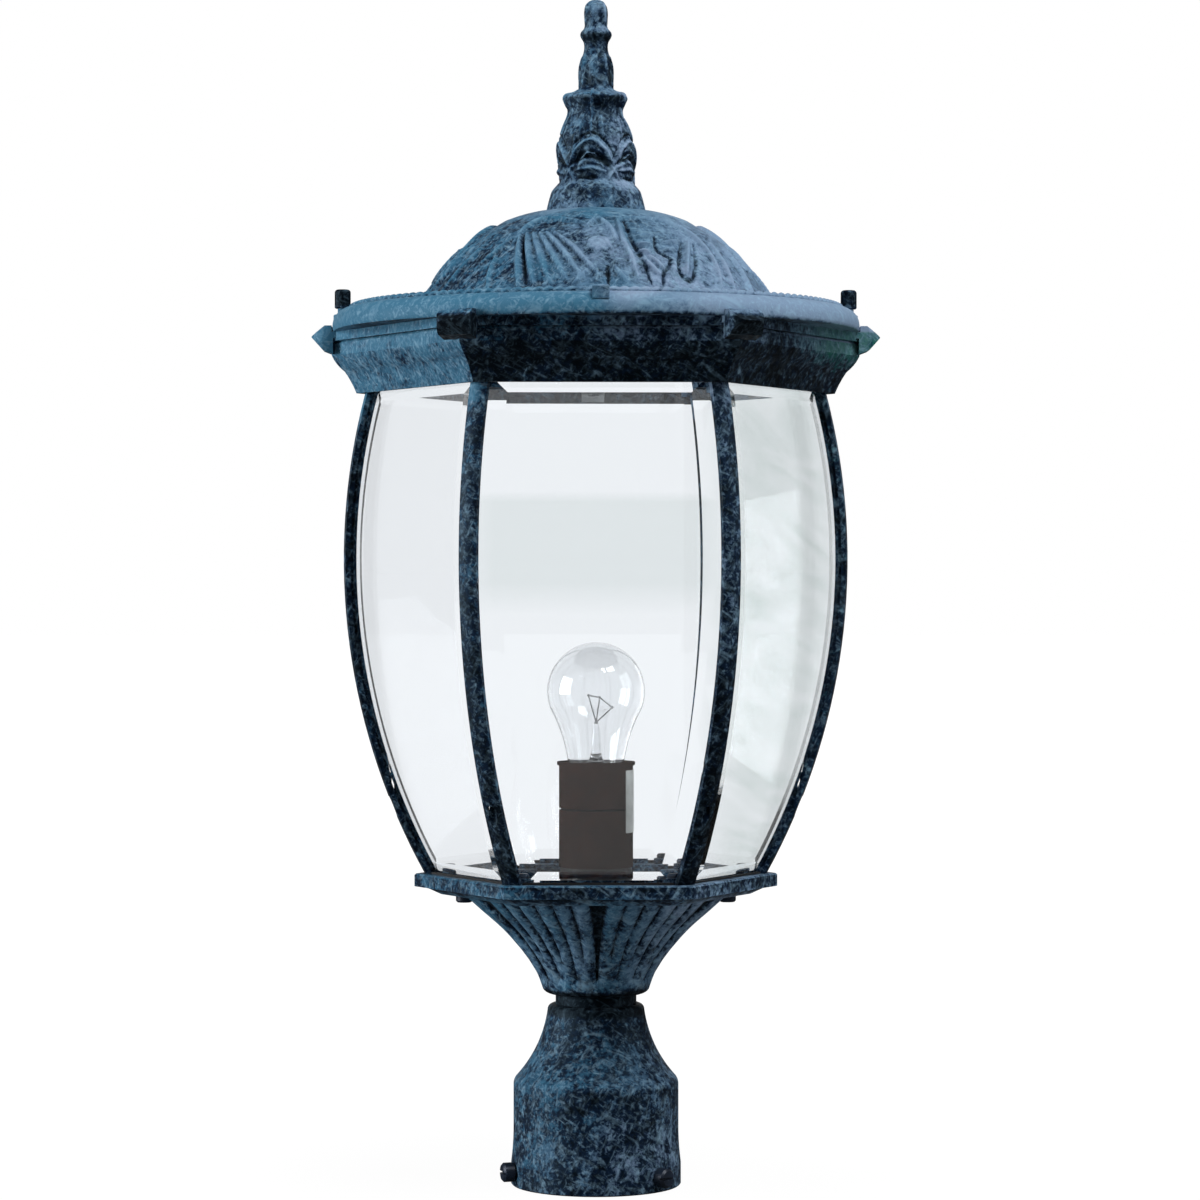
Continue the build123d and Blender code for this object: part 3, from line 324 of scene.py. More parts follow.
def makeGlass(name, tint, gloss=0.5, ior=1.5, paintedReflection=None):
    # clear drawn glass; painted reflections lie in soft streaks on the right front panel and in a faint band
    # across the front one
    material, tree, shader = newMaterial(name)
    shader.inputs["Base Color"].default_value = toLinear(tint)
    if paintedReflection:
        place = addNode(tree, "ShaderNodeTexCoord").outputs["Object"]
        drawn = addNode(tree, "ShaderNodeMapping", {
            "Vector": place, "Rotation": paintedReflection["turn"], "Scale": paintedReflection["stretch"],
        }, vector_type="TEXTURE")
        measures = placesInMm(tree, place)
        measures["streaks"] = addNode(tree, "ShaderNodeTexNoise", {
            "Vector": drawn, "Scale": perMetre(paintedReflection["streakMm"]), "Detail": paintedReflection["detail"],
            "Distortion": paintedReflection["distortion"],
        })
        right = withinSpans(tree, measures, paintedReflection["rightPaneReflection"])
        band = withinSpans(tree, measures, paintedReflection["frontPaneReflectionBand"])
        band = addNode(tree, "ShaderNodeMath", [band, paintedReflection["bandShare"]], operation="MULTIPLY")
        share = addNode(tree, "ShaderNodeMath", [right, band], operation="MAXIMUM")
        mixed = addNode(tree, "ShaderNodeMix", {
            0: share, 6: toLinear(tint), 7: toLinear(paintedReflection["tint"]),
        }, data_type="RGBA")
        tree.links.new(mixed.outputs[2], shader.inputs["Base Color"])
    shader.inputs["Roughness"].default_value = 0.0
    shader.inputs["IOR"].default_value = ior
    shader.inputs["Specular IOR Level"].default_value = gloss
    shader.inputs["Transmission Weight"].default_value = 1.0
    return material


def makePlain(name, colour, roughness, metallic=0.0, bumpMm=0.05, spread=0.25, gloss=0.5, groove=None):
    # one tone with a fine grain in gloss and height and a wide cloud in colour, with painted shade, nearly
    # black, in a groove between two heights
    grainMm, cloudMm, roughSpread, bumpStrength = 0.8, 9.6, 0.15, 0.4
    material, tree, shader = newMaterial(name)
    place = addNode(tree, "ShaderNodeTexCoord").outputs["Object"]
    grain = addNode(tree, "ShaderNodeTexNoise", {"Vector": place, "Scale": perMetre(grainMm), "Detail": 3.0})
    cloud = addNode(tree, "ShaderNodeTexNoise", {"Vector": place, "Scale": perMetre(cloudMm), "Detail": 2.0})
    tone = addNode(tree, "ShaderNodeMapRange", [cloud, *noiseSpan, 1 - spread, 1 + spread])
    # the groove is painted shade, nearly black
    if groove:
        low, high = groove
        tall = addNode(tree, "ShaderNodeSeparateXYZ", [place]).outputs["Z"]
        off = addNode(tree, "ShaderNodeMath", [tall, (low + high) / 2], operation="SUBTRACT")
        off = addNode(tree, "ShaderNodeMath", [off], operation="ABSOLUTE")
        clear = addNode(tree, "ShaderNodeMath", [off, (high - low) / 2], operation="GREATER_THAN")
        tone = addNode(tree, "ShaderNodeMath", [tone, clear], operation="MULTIPLY")
    tinted = addNode(tree, "ShaderNodeVectorMath", {
        0: toLinear(colour)[:3], "Scale": tone,
    }, operation="SCALE")
    tree.links.new(tinted.outputs[0], shader.inputs["Base Color"])
    rough = addNode(tree, "ShaderNodeMapRange", [
        grain, *noiseSpan, roughness * (1 - roughSpread), roughness * (1 + roughSpread),
    ])
    tree.links.new(rough.outputs[0], shader.inputs["Roughness"])
    shader.inputs["Metallic"].default_value = metallic
    shader.inputs["Specular IOR Level"].default_value = gloss
    bump = addNode(tree, "ShaderNodeBump", {
        "Height": grain, "Strength": bumpStrength, "Distance": bumpMm * millimetre,
    })
    tree.links.new(bump.outputs[0], shader.inputs["Normal"])
    return material


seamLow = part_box("holder_shell")[0].z
seamMm = 1.2
paintedSeamShade = (seamLow, seamLow + seamMm * millimetre)
finishes = {
    "cast_metal": makeCastAluminiumVerdigris(),
    # bent plate glass with hardly any tint, and the thinner blown glass of the bulb
    "panel_glass": makeGlass("bentPlateGlass", "#f8fafc", paintedReflection=paneReflections),
    "bulb_glass": makeGlass("blownLampGlass", "#f7f8f9", gloss=0.2),
    # screws and clips: blackened steel is a dull blue black, zinc plate has a soft grey shine
    "dark_steel": makePlain("blackenedSteel", "#182435", 0.42, metallic=0.3, spread=0.5),
    "zinc_steel": makePlain("zincPlatedSteel", "#8f9294", 0.38, metallic=1.0),
    # rubber is matt and nearly black, moulded phenolic is smooth black or a flat dark brown
    "seal_rubber": makePlain("blackRubber", "#121417", 0.7),
    "holder_black": makePlain("blackPhenolic", "#0b0b0d", 0.35),
    # the holder's seam groove is painted shade
    "holder_brown": makePlain("brownPhenolic", "#2c1d18", 0.6, bumpMm=0.01, gloss=0.0, groove=paintedSeamShade),
    # moulded urea is ivory with a low gloss, and the blank label is matt grey paper
    "holder_white": makePlain("mouldedUrea", "#cfcbc0", 0.5),
    "label_paper": makePlain("blankPaper", "#b9bbb9", 0.7),
    # pressed brass and aluminium shine softly, the bulb's black glass is smooth and dark, and the drawn
    # nickel wires look dull behind glass
    "brass": makePlain("pressedBrass", "#b8925a", 0.35, metallic=1.0),
    "bulb_cap": makePlain("pressedAluminium", "#c2c4c6", 0.35, metallic=1.0),
    "bulb_black": makePlain("blackGlass", "#08080a", 0.2),
    "lead_wire": makePlain("nickelWire", "#b9babc", 0.5),
}

slotOf = {part["node"]: part["material_slot"] for part in frame["record"]["subparts"]}
for name, piece in nodes.items():
    piece.data.materials.clear()
    piece.data.materials.append(finishes[slotOf[name]])
print("finishes on", len(nodes), "nodes")

# soft edges of the castings that keep their own mesh, in millimetres
castEdges = {"crown_frame": 0.8, "cage_ring": 0.6, "rim_blocks": 0.5, "corner_post": 0.9}
edgeAngle = 35
edgeSegments = 2
for name, piece in nodes.items():
    width = next((size for start, size in castEdges.items() if name.startswith(start)), 0)
    if not width:
        continue
    weld = piece.modifiers.new("weld", "WELD")
    weld.merge_threshold = weldDistance
    bevel = piece.modifiers.new("castEdge", "BEVEL")
    bevel.width = width * millimetre
    bevel.segments = edgeSegments
    bevel.limit_method = "ANGLE"
    bevel.angle_limit = math.radians(edgeAngle)
    bevel.use_clamp_overlap = True


def smoothLine(points, step):
    # even points along a smooth curve through radius and height pairs, in millimetres
    points = np.array(points, dtype=float)
    ends = np.vstack([2 * points[0] - points[1], points, 2 * points[-1] - points[-2]])
    pieces = 24     # between two points, before the line is evened out
    t = np.linspace(0, 1, pieces, endpoint=False)[:, None]
    line = []
    for a, b, c, d in zip(ends, ends[1:], ends[2:], ends[3:]):
        line.append(b + 0.5 * t * (c - a + t * (2 * a - 5 * b + 4 * c - d + t * (3 * (b - c) + d - a))))
    line = np.vstack(line + [points[-1:]])
    run = np.concatenate([[0], np.cumsum(np.hypot(*np.diff(line, axis=0).T))])
    places = np.linspace(0, run[-1], max(2, int(round(run[-1] / step)) + 1))
    return np.column_stack([np.interp(places, run, line[:, k]) for k in (0, 1)])


def joinLines(*lines):
    # several lines end to end, a shared corner kept once
    joined = np.array(lines[0], dtype=float)
    for line in lines[1:]:
        line = np.array(line, dtype=float)
        joined = np.vstack([joined, line[1:] if np.allclose(joined[-1], line[0]) else line])
    return joined


def runAlong(outline):
    return np.concatenate([[0], np.cumsum(np.hypot(*np.diff(outline[:, :2], axis=0).T))])


def raised(distance, width):
    # rounded ridge across a distance, 1 in the middle and 0 past its width
    across = np.clip(1 - distance / width, 0, 1)
    return across * across * (3 - 2 * across)


def strokeRelief(theta, along, radius, width, height, strokes):
    # drawn strokes of degrees and place along the outline, thinner and lower at both ends
    endShare, endPower = 0.5, 0.6
    relief = np.zeros_like(theta)
    for points in strokes:
        total = len(points) - 1
        for k, (start, end) in enumerate(zip(points, points[1:])):
            x = np.radians(theta - start[0]) * radius
            y = along - start[1]
            dx = np.radians(end[0] - start[0]) * radius
            dy = end[1] - start[1]
            part = np.clip((x * dx + y * dy) / (dx * dx + dy * dy), 0, 1)
            distance = np.hypot(x - part * dx, y - part * dy)
            taper = endShare + (1 - endShare) * np.abs(np.sin(np.pi * (k + part) / total)) ** endPower
            relief = np.maximum(relief, raised(distance, width * taper) * taper)
    return relief * height


def turnedPiece(name, outline, around, relief=None, slot="cast_metal", smooth=50):
    # grid wrapped about the axis along an outline of radius, height and, where given, how far it is
    # six-sided; the relief pushes it out, in millimetres
    onAxis = 0.01       # an end with less radius than this closes on the axis
    noLength = 1e-9     # least length that a slope is divided by
    hexTurn = 60        # degrees from corner to corner
    outline = np.array(outline, dtype=float)
    if outline.shape[1] == 2:
        outline = np.column_stack([outline, np.zeros(len(outline))])
    openEnds = outline[0, 0] < onAxis and outline[-1, 0] < onAxis
    rows = len(outline) - 1 if openEnds else len(outline)
    bpy.ops.object.select_all(action="DESELECT")
    bpy.ops.mesh.primitive_grid_add(x_subdivisions=around, y_subdivisions=rows, size=1)
    piece = bpy.context.object
    piece.name = name
    column = np.tile(np.arange(around + 1), rows + 1) % around
    row = np.repeat(np.arange(rows + 1), around + 1) % len(outline)
    theta = column * 360 / around
    radius, height, sixSided = outline[row].T
    slope = np.roll(outline, -1, axis=0) - np.roll(outline, 1, axis=0)
    slope = slope[:, :2] / np.maximum(np.hypot(slope[:, 0], slope[:, 1]), noLength)[:, None]
    push = relief(theta, runAlong(outline)[row], radius, height) if relief else np.zeros_like(radius)
    toCorner = 1 / np.cos(np.radians(theta % hexTurn - hexTurn / 2))
    radius = radius * (1 + sixSided * (toCorner - 1))
    radius = radius + slope[row, 1] * push
    height = height - slope[row, 0] * push
    angle = np.radians(theta)
    places = np.column_stack([radius * np.cos(angle), radius * np.sin(angle), height]) * millimetre
    piece.data.vertices.foreach_set("co", places.ravel())
    relieved = piece.data.attributes.new("relief", "FLOAT", "POINT")
    relieved.data.foreach_set("value", push.astype(np.float32))
    bpy.ops.object.mode_set(mode="EDIT")
    bpy.ops.mesh.select_all(action="SELECT")
    bpy.ops.mesh.remove_doubles(threshold=weldDistance)
    bpy.ops.mesh.normals_make_consistent(inside=False)
    bpy.ops.object.mode_set(mode="OBJECT")
    bpy.ops.object.shade_smooth_by_angle(angle=math.radians(smooth))
    piece.data.materials.append(finishes[slot])
    return piece


# roof dome with its leaves, in millimetres
dome = {
    "around": 720,
    "step": 0.85,
    "innerStep": 5.1,
    "strokeStep": 2.5,
    "wall": 3.0,
    "innerShift": (0.75, 0.66),    # of the wall, inwards and down
    "bore": 5.2,
    "outline": [
        (93.5, 438.9), (91, 440), (87, 443.2), (83.6, 447.4), (79.2, 453), (74.6, 458.3), (69, 464.4),
        (60.5, 472.1), (51, 477.8), (42, 481.6), (33, 484.2), (25, 485.3),
    ],
    "sunk": 0.8,           # ground of the leaves under the dome's own line
    "leafBand": (52, 90),  # radius from the leaves' tips to their foot
    "leafFade": (6, 2),    # over which the leaves fade at the tips and at the foot
    "repeat": 120,         # degrees that the pattern takes, with its middle at the front
    "front": 270,
    "fan": {
        "count": 6,
        "tip": ((-36.5, 63), (-20, 63)),
        "bend": ((-30.5, 77), (-9.5, 72)),
        "foot": ((-26, 88.5), (0, 84)),
    },
    "ridges": [            # degrees right of the front, and radius
        [(-37, 69.5), (-36, 57.5), (-28, 51), (-9, 54.5)],
        [(-47.5, 78), (-43, 72.5), (-39.5, 65.5)],
        [(-6, 60), (-0.5, 52.5), (5.5, 60), (7.5, 68.5)],
        [(10, 52), (10, 67), (12, 76), (12.5, 84)],
        [(16, 66), (24.5, 65)],
        [(15, 70), (21.5, 70)],
        [(15, 73.5), (19.5, 73.5)],
        [(26.5, 69), (36, 67.5)],
        [(26, 72.5), (31, 72)],
        [(40.5, 67), (34.5, 76), (31.5, 82)],
        [(15.5, 76), (20.5, 83)],
        [(19, 75.5), (23, 81)],
        [(-4.5, 82), (-8, 88)],
        [(5, 80), (9, 87)],
        [(55.5, 66.5), (52.5, 78.5), (49, 88)],
        [(66, 68), (62.5, 79.5), (60, 88)],
        [(-41.5, 75), (-39.5, 83), (-37, 89)],
        [(10, 53), (24, 50), (38, 54), (47, 64), (48, 76), (43, 88)],
    ],
    "ridge": (2.4, 2.2),   # width to each side, and height
    "grooves": [
        [(24.5, 66), (23, 72.5), (27.5, 76.5), (22.5, 82.5), (20.5, 88.5)],
        [(37.5, 67), (30.5, 77), (29, 83.5), (32, 85), (37, 79), (44, 67.5)],
        [(-34.5, 65), (-28.4, 76.5), (-23.4, 88)],
        [(13.5, 52), (13.8, 67), (16, 78), (17, 87)],
        [(3, 80), (3, 88)],
    ],
    "groove": (1.7, 1.3),
    "egg": (0, 70, 6.0, 6.5, 1.3),     # degrees, radius, half-width, half-height and rise
}


def domeRelief(line):
    look = dome
    run = runAlong(line)

    def alongAt(radius):
        return np.interp(-radius, -line[:, 0], run)

    def placed(strokes):
        return [
            [(degrees, alongAt(radius)) for degrees, radius in smoothLine(points, look["strokeStep"])]
            for points in strokes
        ]

    fan = look["fan"]
    blades = []
    for k in range(fan["count"]):
        share = k / (fan["count"] - 1)
        blades.append([
            tuple(a + (b - a) * share for a, b in zip(*fan[part])) for part in ("tip", "bend", "foot")
        ])
    ridges = placed(look["ridges"] + blades)
    grooves = placed(look["grooves"])
    eggDegrees, eggRadius, eggWide, eggHigh, eggRise = look["egg"]
    inner, outer = look["leafBand"]
    tipFade, footFade = look["leafFade"]
    nearBore = look["bore"] + 1

    def relief(theta, along, radius, height):
        onTop = (along <= run[-1]) & (radius > nearBore)
        across = (theta - look["front"] + look["repeat"] / 2) % look["repeat"] - look["repeat"] / 2
        rise = np.zeros_like(theta)
        for shift in (-look["repeat"], 0, look["repeat"]):
            rise = np.maximum(rise, strokeRelief(across + shift, along, radius, *look["ridge"], ridges))
        x = np.radians(across - eggDegrees) * radius / eggWide
        y = (along - alongAt(eggRadius)) / eggHigh
        rise = np.maximum(rise, eggRise * np.sqrt(np.clip(1 - x * x - y * y, 0, 1)))
        rise -= strokeRelief(across, along, radius, *look["groove"], grooves)
        band = np.clip((radius - inner + tipFade) / tipFade, 0, 1)
        band *= np.clip((outer + footFade / 2 - radius) / footFade, 0, 1)
        return np.where(onTop, (rise - look["sunk"]) * band, 0)

    return relief


def makeDome():
    look = dome
    line = smoothLine(look["outline"], look["step"])
    wall = look["wall"]
    shiftIn, shiftDown = look["innerShift"]
    inner = [(r - wall * shiftIn, z - wall * shiftDown) for r, z in look["outline"][::-1]]
    endRadius, top = look["outline"][-1]
    inner[0] = (endRadius, top - wall)
    outline = joinLines(
        line, [(look["bore"], top), (look["bore"], top - wall)], smoothLine(inner, look["innerStep"])
    )
    leaves = turnedPiece("domeLeaves", outline, look["around"], domeRelief(line))
    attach(leaves, "roof")
    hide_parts("roof_dome")


# round rim of the roof, in millimetres
roofRim = {
    "around": 360,
    "under": [(106.4, 425), (130.8, 425)],
    "shoulder": [
        (130.8, 425), (131.3, 425.8), (131.4, 428.5), (130.6, 431.6), (128.4, 434.4), (125.4, 435.9),
        (124.3, 435.4),
    ],
    "cove": [
        (124.3, 435.4), (123.4, 436.3), (119.6, 436.6), (112, 436.7), (104, 437.2), (97, 438.3), (90, 439.6),
    ],
    "inside": [(90, 437.2), (104, 434.2), (119.4, 433.6), (119.4, 428), (106.4, 428)],
    "shoulderStep": 1.0,
    "coveStep": 2.5,
}


def makeRim():
    look = roofRim
    outline = joinLines(
        look["under"],
        smoothLine(look["shoulder"], look["shoulderStep"]),
        smoothLine(look["cove"], look["coveStep"]),
        look["inside"],
    )
    rim = turnedPiece("roofRim", outline, look["around"], smooth=40)
    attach(rim, "roof")
    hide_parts("roof_dome")


# rope moulding round the top of the rim, in millimetres
rope = {
    "radius": 121.6,
    "height": 436.5,
    "thick": 1.75,
    "bead": 0.9,
    "strands": 152,
    "sides": 12,
    "columns": 6,     # mesh columns for each strand
    "valley": 0.75,   # of a bead's rise, where it passes the rope's own round
}


def makeRope():
    look = rope
    circle = [
        (look["radius"] + look["thick"] * math.cos(turn), look["height"] + look["thick"] * math.sin(turn))
        for turn in np.linspace(0, 2 * math.pi, look["sides"], endpoint=False)
    ]

    def twist(theta, along, radius, height):
        side = np.arctan2(height - look["height"], radius - look["radius"])
        bead = np.abs(np.cos((look["strands"] * np.radians(theta) - side) / 2))
        return look["bead"] * (bead - look["valley"])

    around = look["strands"] * look["columns"]
    moulding = turnedPiece("ropeMoulding", circle, around, twist, smooth=80)
    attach(moulding, "roof")
    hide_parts("roof_dome")


# pads that the thumb knobs stand on, in millimetres
knobPad = {"low": 425.2, "high": 434.0, "radius": 4.6, "sides": 48, "edge": 0.8, "segments": 3, "smooth": 40}


def makeKnobPads():
    look = knobPad
    knobLow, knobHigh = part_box("knob_right")
    place = (knobLow.x + knobHigh.x) / 2
    low, high = look["low"], look["high"]
    for side, name in ((1, "knobPadRight"), (-1, "knobPadLeft")):
        bpy.ops.object.select_all(action="DESELECT")
        bpy.ops.mesh.primitive_cylinder_add(
            vertices=look["sides"], radius=look["radius"] * millimetre, depth=(high - low) * millimetre,
            location=(side * place, 0, (low + high) / 2 * millimetre),
        )
        pad = bpy.context.object
        pad.name = name
        bpy.ops.object.transform_apply(location=True, rotation=False, scale=False)
        bevel = pad.modifiers.new("edge", "BEVEL")
        bevel.width = look["edge"] * millimetre
        bevel.segments = look["segments"]
        bpy.ops.object.modifier_apply(modifier=bevel.name)
        bpy.ops.object.shade_smooth_by_angle(angle=math.radians(look["smooth"]))
        pad.data.materials.append(finishes["cast_metal"])
        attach(pad, "roof")
        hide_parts("roof_dome")


# finial with its leaves and lobes, in millimetres
finialLook = {
    "around": 300,
    "step": 0.55,
    "petal": 72,
    "front": 261,          # a petal's middle, a little left of the front
    "outline": [
        (24.8, 485.3), (24.6, 487), (24.0, 489.5), (23.2, 492.5), (22.2, 495.5), (20.4, 497.8), (19.2, 499.2),
        (18.6, 501), (18.6, 504), (19.0, 507), (19.3, 510.5), (19.3, 513.5), (18.9, 516.5), (18.3, 519.5),
        (18.0, 522.5), (17.0, 525.5), (15.8, 528.5), (14.4, 531.5), (13.6, 534), (13.5, 536.2), (14.2, 538.2),
        (15.2, 540.4), (15.7, 542.0), (14.8, 543.3), (12.0, 544.3), (9.6, 545.7), (8.7, 547.4), (8.4, 549.5),
        (8.5, 552.5), (8.5, 555.5), (8.2, 558.5), (7.4, 561.5), (6.4, 564.5), (5.9, 567.5), (6.2, 570.2),
        (7.3, 572.2), (7.9, 573.8), (7.5, 575.3), (6.2, 576.8), (5.7, 578.4), (5.8, 582), (5.9, 585),
        (5.4, 588), (4.1, 590.2), (2.1, 591.3), (0, 591.5),
    ],
    "ridges": [            # width to each side, rise, and degrees from the petal's middle with height
        (2.0, 1.5, [
            (-34.5, 508), (-22.5, 515), (-9, 518.6), (0, 519.4), (9, 518.4), (22.5, 514.2), (34.5, 507),
        ]),
        (1.2, 1.7, [(-16.5, 510), (-6, 512.6), (4.5, 512.4), (13.5, 509.8)]),
        (1.7, 1.1, [(-25.5, 504.4), (0, 505.6), (22.5, 503.6)]),
        (1.1, 1.1, [(0, 520), (0, 533), (0, 546)]),
        (1.0, 0.6, [(-19.5, 519), (-18, 532)]),
        (1.0, 0.6, [(19.5, 519), (18, 532)]),
        (1.6, 1.1, [(30, 507), (39, 503), (45, 499.5)]),
        (1.6, 1.1, [(-30, 507), (-39, 503), (-45, 499.5)]),
        (1.8, 1.0, [(45, 522), (45, 512), (45, 506)]),
    ],
    "grooves": [
        (1.0, 0.8, [(-39, 510), (-27, 517.6), (-12, 522), (0, 523), (12, 521.8), (27, 516.8), (39, 509)]),
        (3.2, 2.2, [(-28.5, 507.8), (-12, 511.6), (3, 511.8), (18, 509.4), (28.5, 506.2)]),
        (1.3, 1.1, [(-18, 500.6), (9, 500.4)]),
        (1.0, 0.6, [(-9, 531), (-10.5, 522)]),
        (1.0, 0.6, [(9, 531), (10.5, 522)]),
    ],
    "collar": (537, 544.6, 0.8),       # from one height to another, and the lobes' rise
    "lobe": (0.6, 0.55),               # roundness, and the part of the rise that is sunk
    "vase": (547, 564, 0.45, 8),       # the same with the count of lobes round the axis
    "acorn": (578, 590, 0.35, 6),
    "soft": 1.5,                       # fade at both ends of these
    "tip": 1.5,                        # radius under which the tip stays plain
}


def makeFinial():
    look = finialLook
    line = smoothLine(look["outline"], look["step"])
    outline = joinLines([(0, look["outline"][0][1])], [look["outline"][0]], line)
    run = runAlong(outline)
    petal = look["petal"]

    def window(height, low, high):
        soft = look["soft"]
        return np.clip((height - low) / soft, 0, 1) * np.clip((high - height) / soft, 0, 1)

    def relief(theta, along, radius, height):
        across = (theta - look["front"] + petal / 2) % petal - petal / 2
        rise = np.zeros_like(theta)
        cut = np.zeros_like(theta)
        for kind, total in (("ridges", rise), ("grooves", cut)):
            for width, tall, points in look[kind]:
                stroke = [(degrees, np.interp(z, outline[:, 1], run)) for degrees, z in points]
                for shift in (-petal, 0, petal):
                    drawn = strokeRelief(across + shift, along, radius, width, tall, [stroke])
                    np.maximum(total, drawn, out=total)
        push = rise - cut
        low, high, tall = look["collar"]
        power, level = look["lobe"]
        lobe = np.abs(np.cos(np.radians(across * 180 / petal))) ** power
        push += tall * (lobe - level) * window(height, low, high)
        for part in ("vase", "acorn"):
            low, high, tall, count = look[part]
            push += tall * np.cos(np.radians(theta - look["front"]) * count) * window(height, low, high)
        return push * (radius > look["tip"])

    finial = turnedPiece("finialCasting", outline, look["around"], relief, smooth=60)
    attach(finial, "finial")
    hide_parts("finial")


# urn with its flutes, in millimetres
urnLook = {
    "around": 720,
    "step": 0.9,
    "bell": [
        (20.8, 95), (24.0, 95.5), (26.2, 97), (27.2, 99.5), (28.3, 102.5), (29.6, 105.5), (31.4, 108.5),
        (33.3, 111.5), (35.5, 114.5), (37.7, 117.5), (40.2, 120.5), (42.8, 123.5), (45.6, 126.5),
        (48.7, 129.5), (52.1, 132.5), (55.6, 135.5), (59.0, 138.5), (62.3, 141.5), (65.4, 144.5),
    ],
    "flange": [(66.7, 144.5), (67.2, 144.7), (73.4, 147.9), (73.1, 148.5)],     # six-sided
    "inside": [(57.2, 141.5), (46.4, 131), (36.0, 122.6), (27.4, 110), (22.8, 100)],
    "insideStep": 4,
    "bore": 5.2,
    "flutes": (100.5, 144.6),
    "leaf": 60,                 # degrees
    "front": 270,
    "ribs": 6,
    "depth": 2.2,
    "shallow": 0.55,            # of the depth, at the foot
    "gap": (0.9, 3.6, 1.5),     # degrees from a leaf's side to its first rib, low and high, and the curve
    "ribPowers": (0.55, 0.5),   # how flat six ribs and three ribs are
    "split": (0.22, 0.2),       # three ribs part into six from this share of the height, over that share
    "ends": (2.2, 1.6, 1.8),    # arch of the grooves' feet, and the fades at foot and head
}


def makeUrn():
    look = urnLook
    bell = smoothLine(look["bell"], look["step"])
    bellRun = runAlong(bell)[-1]
    low = look["bell"][0][1]
    high = look["flange"][-1][1]
    bore, floor = look["bore"], look["inside"][-1][1]

    def hexed(points, share):
        return [(r, z, share) for r, z in points]

    outline = np.array(
        hexed(bell, 0)
        + hexed(look["flange"], 1)
        + hexed([(look["inside"][0][0], high)], 0)
        + hexed(smoothLine(look["inside"], look["insideStep"]), 0)
        + hexed([(bore, floor), (bore, low)], 0)
    )

    def relief(theta, along, radius, height):
        bottom, top = look["flutes"]
        share = np.clip((height - bottom) / (top - bottom), 0, 1)
        local = (theta - look["front"]) % look["leaf"]
        gapLow, gapHigh, gapPower = look["gap"]
        gap = gapLow + (gapHigh - gapLow) * share ** gapPower
        edge = np.minimum(local, look["leaf"] - local)
        across = np.clip((local - gap) / (look["leaf"] - 2 * gap), 0, 1)
        finePower, coarsePower = look["ribPowers"]
        fine = np.abs(np.sin(across * look["ribs"] * np.pi)) ** finePower
        coarse = np.abs(np.sin(across * look["ribs"] / 2 * np.pi)) ** coarsePower
        splitStart, splitRun = look["split"]
        ribs = coarse + (fine - coarse) * np.clip((share - splitStart) / splitRun, 0, 1)
        shallow = look["shallow"]
        cut = look["depth"] * (shallow + (1 - shallow) * share) * (1 - ribs)
        cut = np.where(edge < gap, look["depth"], cut)
        arch, footFade, headFade = look["ends"]
        ends = np.clip((height - bottom - arch * (1 - ribs)) / footFade, 0, 1)
        ends *= np.clip((top - height) / headFade, 0, 1)
        return np.where(along <= bellRun, -cut * ends, 0)

    urn = turnedPiece("urnCasting", outline, look["around"], relief, smooth=40)
    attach(urn, "cage")
    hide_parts("urn_base")


makeDome()
makeRim()
makeRope()
makeKnobPads()
print("roof")
makeFinial()
print("finial")
makeUrn()
print("urn")


# white floor and backdrop, whose white is only for the camera and the glass, in metres
floorLook = {
    "size": 40.0,
    "tone": "#9a9a9a",
    "mirroredTone": "#4c4c4c",   # as the castings' sheen sees it
    "roughness": 0.9,
    "white": 1.05,
    "footShade": 0.93,           # of the white, under the fitter
    "fade": (0.10, 0.5),         # metres from the axis
}
backdrop = {
    "behind": (0.80, 0.98),      # how far a mirrored ray runs to the back
    "mirrored": 0.6,
    "level": 0.11,
    "mirroredLevel": 0.04,
}
aimAt = (0, 0, 0.3)
softboxes = [                    # place, size in metres, watts
    ("leftSoftbox", (-1.9, -0.35, 0.6), 1.1, 36),
    ("topSoftbox", (0.7, -0.8, 2.0), 1.0, 36),
    ("rightSoftbox", (1.8, -0.4, 0.9), 0.9, 7),
]


def seenThrough(tree):
    # 1 for what the camera sees, also through the glass, and 1 for what a sheen mirrors
    path = addNode(tree, "ShaderNodeLightPath")
    seen = addNode(tree, "ShaderNodeMath", [
        path.outputs["Is Camera Ray"], path.outputs["Is Transmission Ray"],
    ], operation="MAXIMUM")
    return seen, path.outputs["Is Glossy Ray"]


def addFloor():
    look = floorLook
    bpy.ops.mesh.primitive_plane_add(size=look["size"])
    floor = bpy.context.object
    floor.name = "floor"
    material, tree, shader = newMaterial("paleFloor")
    shader.inputs["Roughness"].default_value = look["roughness"]
    seen, mirrored = seenThrough(tree)
    tone = addNode(tree, "ShaderNodeMix", {
        0: mirrored, 6: toLinear(look["tone"]), 7: toLinear(look["mirroredTone"]),
    }, data_type="RGBA")
    tree.links.new(tone.outputs[2], shader.inputs["Base Color"])
    place = addNode(tree, "ShaderNodeTexCoord").outputs["Object"]
    reach = addNode(tree, "ShaderNodeVectorMath", [place], operation="LENGTH").outputs["Value"]
    fade = addNode(tree, "ShaderNodeMapRange", [reach, *look["fade"], look["footShade"], 1.0])
    share = addNode(tree, "ShaderNodeMath", [seen, fade], operation="MULTIPLY")
    white = addNode(tree, "ShaderNodeEmission", {"Color": (1, 1, 1, 1), "Strength": look["white"]})
    mix = addNode(tree, "ShaderNodeMixShader", [share, shader, white])
    tree.links.new(mix.outputs[0], tree.nodes["Material Output"].inputs["Surface"])
    floor.data.materials.append(material)


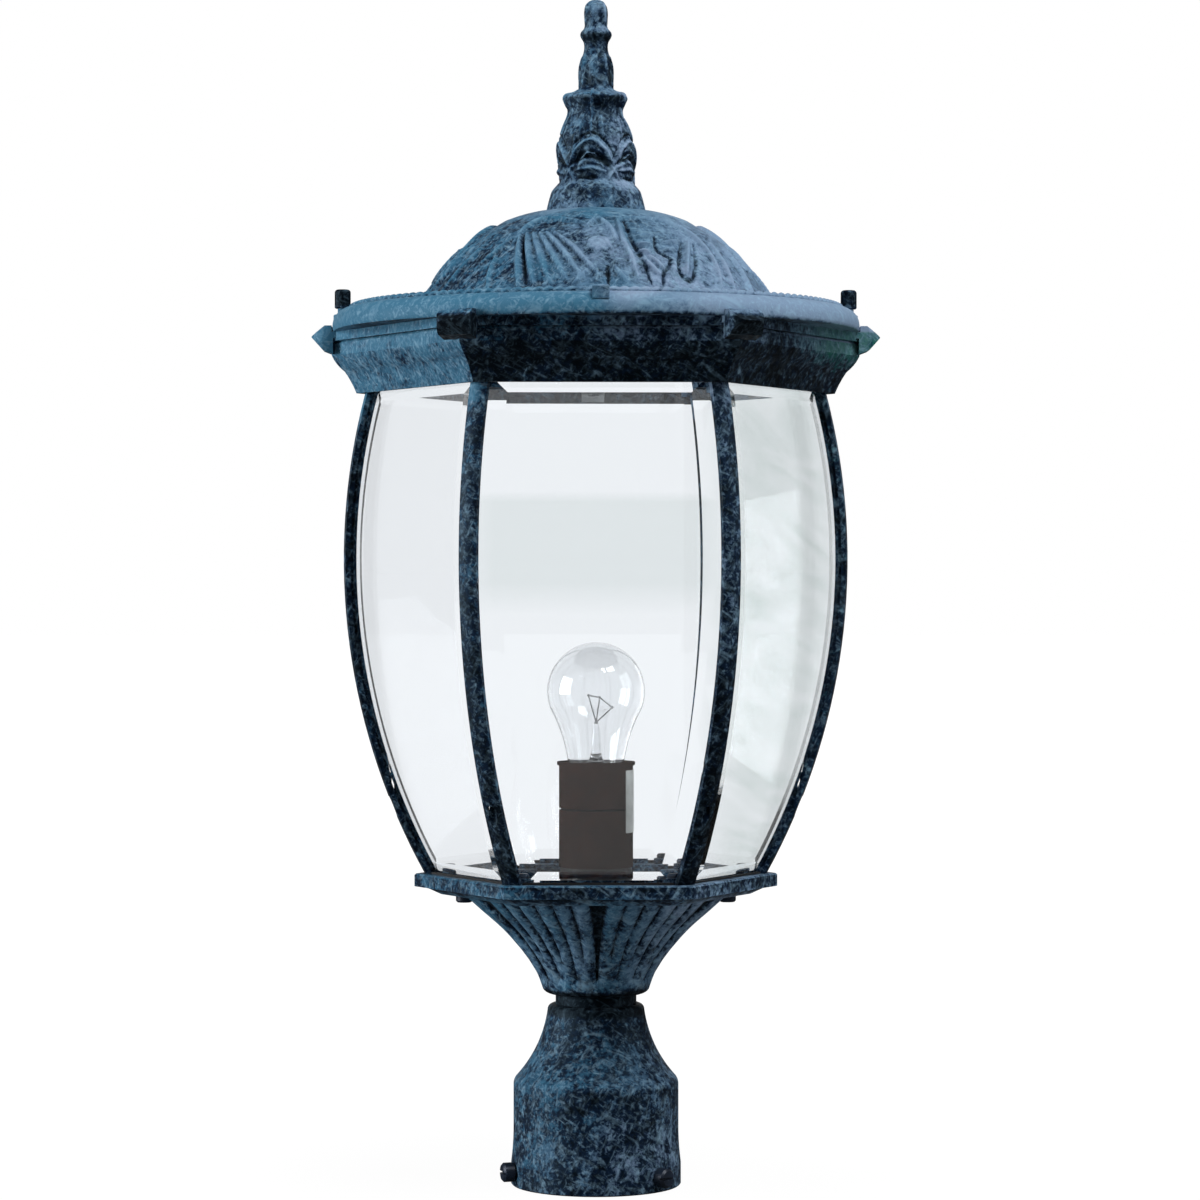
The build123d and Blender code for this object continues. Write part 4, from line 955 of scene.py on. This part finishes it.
def addBackdrop():
    look = backdrop
    world = bpy.data.worlds.new("studio")
    bpy.context.scene.world = world
    world.use_nodes = True
    tree = world.node_tree
    tree.nodes.clear()
    seen, mirrored = seenThrough(tree)
    direction = addNode(tree, "ShaderNodeTexCoord").outputs["Generated"]
    split = addNode(tree, "ShaderNodeSeparateXYZ", [direction])
    behind = addNode(tree, "ShaderNodeMapRange", [split.outputs["Y"], *look["behind"]])
    shown = addNode(tree, "ShaderNodeMath", [mirrored, behind], operation="MULTIPLY")
    shown = addNode(tree, "ShaderNodeMath", [shown, look["mirrored"]], operation="MULTIPLY")
    shown = addNode(tree, "ShaderNodeMath", [seen, shown], operation="MAXIMUM")
    dim = addNode(tree, "ShaderNodeMapRange", [mirrored, 0, 1, look["level"], look["mirroredLevel"]])
    level = addNode(tree, "ShaderNodeMapRange", [shown, 0, 1, dim, 1])
    background = addNode(tree, "ShaderNodeBackground", {"Color": (1, 1, 1, 1), "Strength": level})
    addNode(tree, "ShaderNodeOutputWorld", {"Surface": background})


def addSoftboxes():
    for name, place, size, power in softboxes:
        light = bpy.data.lights.new(name, "AREA")
        light.shape = "SQUARE"
        light.size = size
        light.energy = power
        lamp = bpy.data.objects.new(name, light)
        bpy.context.collection.objects.link(lamp)
        lamp.location = place
        aim = Vector(aimAt) - Vector(place)
        lamp.rotation_euler = aim.to_track_quat("-Z", "Y").to_euler()


cameraLook = {
    "scale": 0.5 * millimetre,     # metres a pixel of the photograph at the lantern's axis
    "pixels": 1200,
    "distance": 1.8,
    "level": 0.298,
    "turn": math.radians(1.0),
    "axisPixel": (596, 587),
    "sensor": 36.0,
    "clip": (0.05, 60),
}


def addCamera():
    look = cameraLook
    camera = bpy.data.objects.new("camera", bpy.data.cameras.new("camera"))
    bpy.context.collection.objects.link(camera)
    turn, distance, pixels = look["turn"], look["distance"], look["pixels"]
    camera.location = (-distance * math.sin(turn), -distance * math.cos(turn), look["level"])
    camera.rotation_euler = (math.pi / 2, 0, -turn)
    camera.data.sensor_width = look["sensor"]
    camera.data.lens = look["sensor"] * distance / (pixels * look["scale"])
    axisX, axisY = look["axisPixel"]
    camera.data.shift_x = (pixels / 2 - axisX) / pixels
    camera.data.shift_y = (axisY - pixels / 2) / pixels
    camera.data.clip_start, camera.data.clip_end = look["clip"]
    bpy.context.scene.camera = camera


addFloor()
addBackdrop()
addSoftboxes()
addCamera()
bpy.context.scene.view_settings.view_transform = "Standard"
print("studio and camera")
